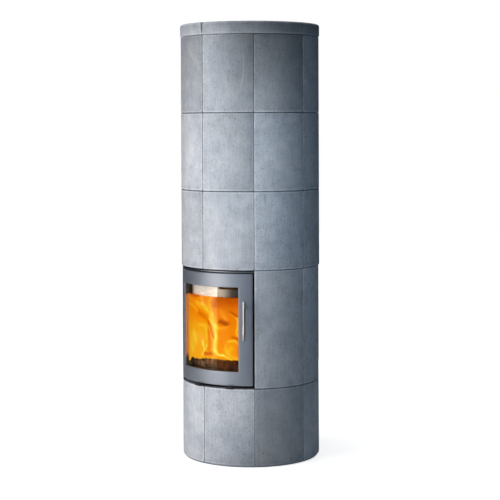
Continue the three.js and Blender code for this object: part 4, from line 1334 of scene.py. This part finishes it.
def fire_heat(angle, height):
    """The heat of the fire at that place: highest low down on the left, fading upwards on the
    right, and then what the folds add."""
    left = FIRE_HEAT_LEFT + FIRE_HEAT_LOW_LEFT * (1.0 - smooth_rise(height, 0.53, 0.60))
    right = FIRE_HEAT_RIGHT - max(0.0, height - 0.46) - 5 * max(0.0, height - 0.62)
    total = left + (right - left) * smooth_rise(angle, 8.0, 12.0)
    place = Vector((angle * 0.12, height * 45, 0.0))
    x = math.radians(angle) * FIRE_RADII[1] + FIRE_STRAY * noise.noise(place + Vector((0, 0, 3)))
    z = height + FIRE_STRAY * noise.noise(place + Vector((0, 0, 8)))
    for points, width, strength in FIRE_FOLDS:
        nearest = 1.0
        for (angle_a, height_a), (angle_b, height_b) in zip(points, points[1:]):
            ax = math.radians(angle_a) * FIRE_RADII[1]
            bx = math.radians(angle_b) * FIRE_RADII[1]
            span = (bx - ax) ** 2 + (height_b - height_a) ** 2
            share = ((x - ax) * (bx - ax) + (z - height_a) * (height_b - height_a)) / span
            share = min(1.0, max(0.0, share))
            near_x, near_z = ax + share * (bx - ax), height_a + share * (height_b - height_a)
            nearest = min(nearest, math.hypot(x - near_x, z - near_z))
        if nearest < 3 * width:
            total += strength * math.exp(-((nearest / width) ** 2))
    return total


def fire_foot(angle):
    """The height at which the flames start, lowest at the window's left edge."""
    drop = 0.010 * smooth_rise(-angle, 2, 16) + 0.038 * smooth_rise(-angle, 26, 33)
    return FIRE_FOOT - drop + FIRE_FOOT_WAVES * noise.noise(Vector((angle * 0.35, 0, 0)))


def fire_curtain():
    points = []
    heats = []
    covers = []
    first, last = FIRE_SIDES
    for row in range(FIRE_ROWS + 1):
        height = FIRE_BOTTOM + (FIRE_TOP - FIRE_BOTTOM) * row / FIRE_ROWS
        for column in range(FIRE_COLUMNS + 1):
            angle = first + (last - first) * column / FIRE_COLUMNS
            inwards = smooth_rise(angle, *FIRE_TURN_IN)
            radius = FIRE_RADII[0] + (FIRE_RADII[1] - FIRE_RADII[0]) * inwards
            ripple = noise.noise(Vector((angle * 0.15, height * 30, 5.0)))
            points.append(around(angle, radius + FIRE_RIPPLE * inwards * ripple, height))
            heats.append(fire_heat(angle, height))
            covers.append(min(1.2, (height - fire_foot(angle)) / FIRE_FOOT_FADE + 0.4))
    width = FIRE_COLUMNS + 1
    faces = []
    for row in range(FIRE_ROWS):
        for corner in range(row * width, row * width + FIRE_COLUMNS):
            faces.append((corner, corner + 1, corner + width + 1, corner + width))
    shape = (points, faces)
    add_piece("flames_front", "stove", shape, flame_material(), glow=heats, cover=covers)


fire_curtain()

# ---------------------------------------------------------------- studio
# A white photo studio: a tall warm panel and a cooler one, which the metal mirrors, weaker lamps in
# front, at the sides, above and behind that light the stone, and a pale floor with the shadow.

WHITE = (1.0, 1.0, 1.0)
FLOOR_RADII = (POLE, 0.3, 0.6, 1.0, 2.0, 5.0, 12.0)
FLOOR_GLOW = 0.80  # beside the stove
FLOOR_GLOW_OUTSIDE = 0.25  # more than that past the shadow


def seen_directly(start):
    """1 for what the camera sees straight on or through glass."""
    camera_rays = start.node("LightPath", {}, {}, "Is Camera Ray")
    return camera_rays + camera_rays.also("Is Transmission Ray")


def studio_floor():
    vertices, faces = turned([(radius, 0.0) for radius in FLOOR_RADII], 48)
    start = new_material("pale_floor")
    place = object_space(start)
    paper = place.cloud(3, 3)
    seen = seen_directly(start)
    distance = place.node("VectorMath", {"operation": "LENGTH"}, {0: place}, "Value")
    glow = (FLOOR_GLOW + distance.between(0.45, 1.1) * FLOOR_GLOW_OUTSIDE) * seen
    material = principled(
        start,
        Base_Color=(0.8 + paper * 0.02).tinted((*WHITE, 1.0)),
        Roughness=1.0,
        Specular_IOR_Level=0.0,
        Emission_Color=glow.tinted((*WHITE, 1.0)),
        Emission_Strength=1.0,
    )
    mesh = new_mesh("studio_floor", (vertices, faces[:-2]))  # without the loft's two caps
    mesh.materials.append(material)
    new_object("studio_floor", mesh)


studio_floor()


def soft_box(
    name, angle, distance, height, width, tall, radiance, colour, glossy=False, spread=180, aim=None
):
    """A rectangular lamp that faces the stove's axis at its own height or at the height aim."""
    data = bpy.data.lights.new(name, "AREA")
    data.shape = "RECTANGLE"
    data.size = width
    data.size_y = tall
    data.energy = radiance * math.pi * width * tall
    data.color = colour
    data.spread = math.radians(spread)
    lamp = new_object(name, data)
    place = around(angle, distance, height)
    target = Vector((0, 0, height if aim is None else aim))
    turned_round = (place - target).to_track_quat("Z", "Y").to_matrix().to_4x4()
    lamp.matrix_world = Matrix.Translation(place) @ turned_round
    lamp.visible_glossy = glossy
    lamp.visible_camera = False


PANEL_WHITE = (1.0, 0.93, 0.86)
COOL = (0.80, 0.92, 1.0)
BLUE = (0.45, 0.73, 1.0)
soft_box("tall_panel", -13, 2.4, 0.8, 1.5, 1.56, 1.85, PANEL_WHITE, glossy=True)
soft_box("right_panel", 25, 2.6, 0.8, 1.8, 1.56, 0.36, COOL, glossy=True)
soft_box("low_left_lamp", -50, 3.2, 0.3, 0.6, 0.8, 11.2, (1.0, 0.98, 0.97))
soft_box("left_lamp", -40, 3.2, 1.2, 0.8, 1.6, 2.2, PANEL_WHITE)
soft_box("front_lamp", 0, 1.2, 0.8, 0.6, 0.8, 3.4, (1.0, 0.91, 0.86))
soft_box("high_front_lamp", 0, 1.3, 1.25, 0.6, 0.8, 0.9, COOL)
soft_box("low_front_lamp", 0, 1.2, 0.35, 0.6, 0.5, 0.9, COOL)
soft_box("right_spot", 45, 1.2, 1.25, 0.3, 0.3, 1.65, COOL, spread=90)
soft_box("right_lamp", 50, 1.2, 0.8, 0.4, 0.6, 1.1, BLUE)
soft_box("top_lamp", 0, 0.001, 3.3, 0.5, 0.5, 2.9, WHITE, spread=40, aim=1.7)
soft_box("back_lamp", -150, 2.4, 0.9, 1.0, 1.6, 3.6, WHITE)
soft_box("back_right_lamp", 125, 2.2, 0.9, 0.8, 1.8, 0.48, BLUE)

FILL_COLOUR = (0.010, 0.012, 0.016, 1.0)  # lights the stove a little from all sides
ROOM_COLOUR = (0.09, 0.11, 0.14, 1.0)  # what metal and glass mirror
BACKDROP_ANGLE = CAMERA_ANGLE - 178  # the mirrored backdrop stands behind the stove, to the left
BACKDROP_EDGES = (0.92, 0.98)  # how squarely a direction must face it

air = emptied(bpy.data.worlds.new("studio_air"))
bpy.context.scene.world = air.owner
directions = {0: air.node("TexCoord", {}, {}, "Generated"), 1: around(BACKDROP_ANGLE, 1.0)}
facing = air.node("VectorMath", {"operation": "DOT_PRODUCT"}, directions, "Value")
mirrored = facing.between(*BACKDROP_EDGES).blend(ROOM_COLOUR, (*WHITE, 1.0))
glossy_rays = air.node("LightPath", {}, {}, "Is Glossy Ray")
lit = glossy_rays.blend(FILL_COLOUR, mirrored)
sky = air.node("Background", {}, {"Color": seen_directly(air).blend(lit, (*WHITE, 1.0))})
air.node("OutputWorld", {}, {"Surface": sky})
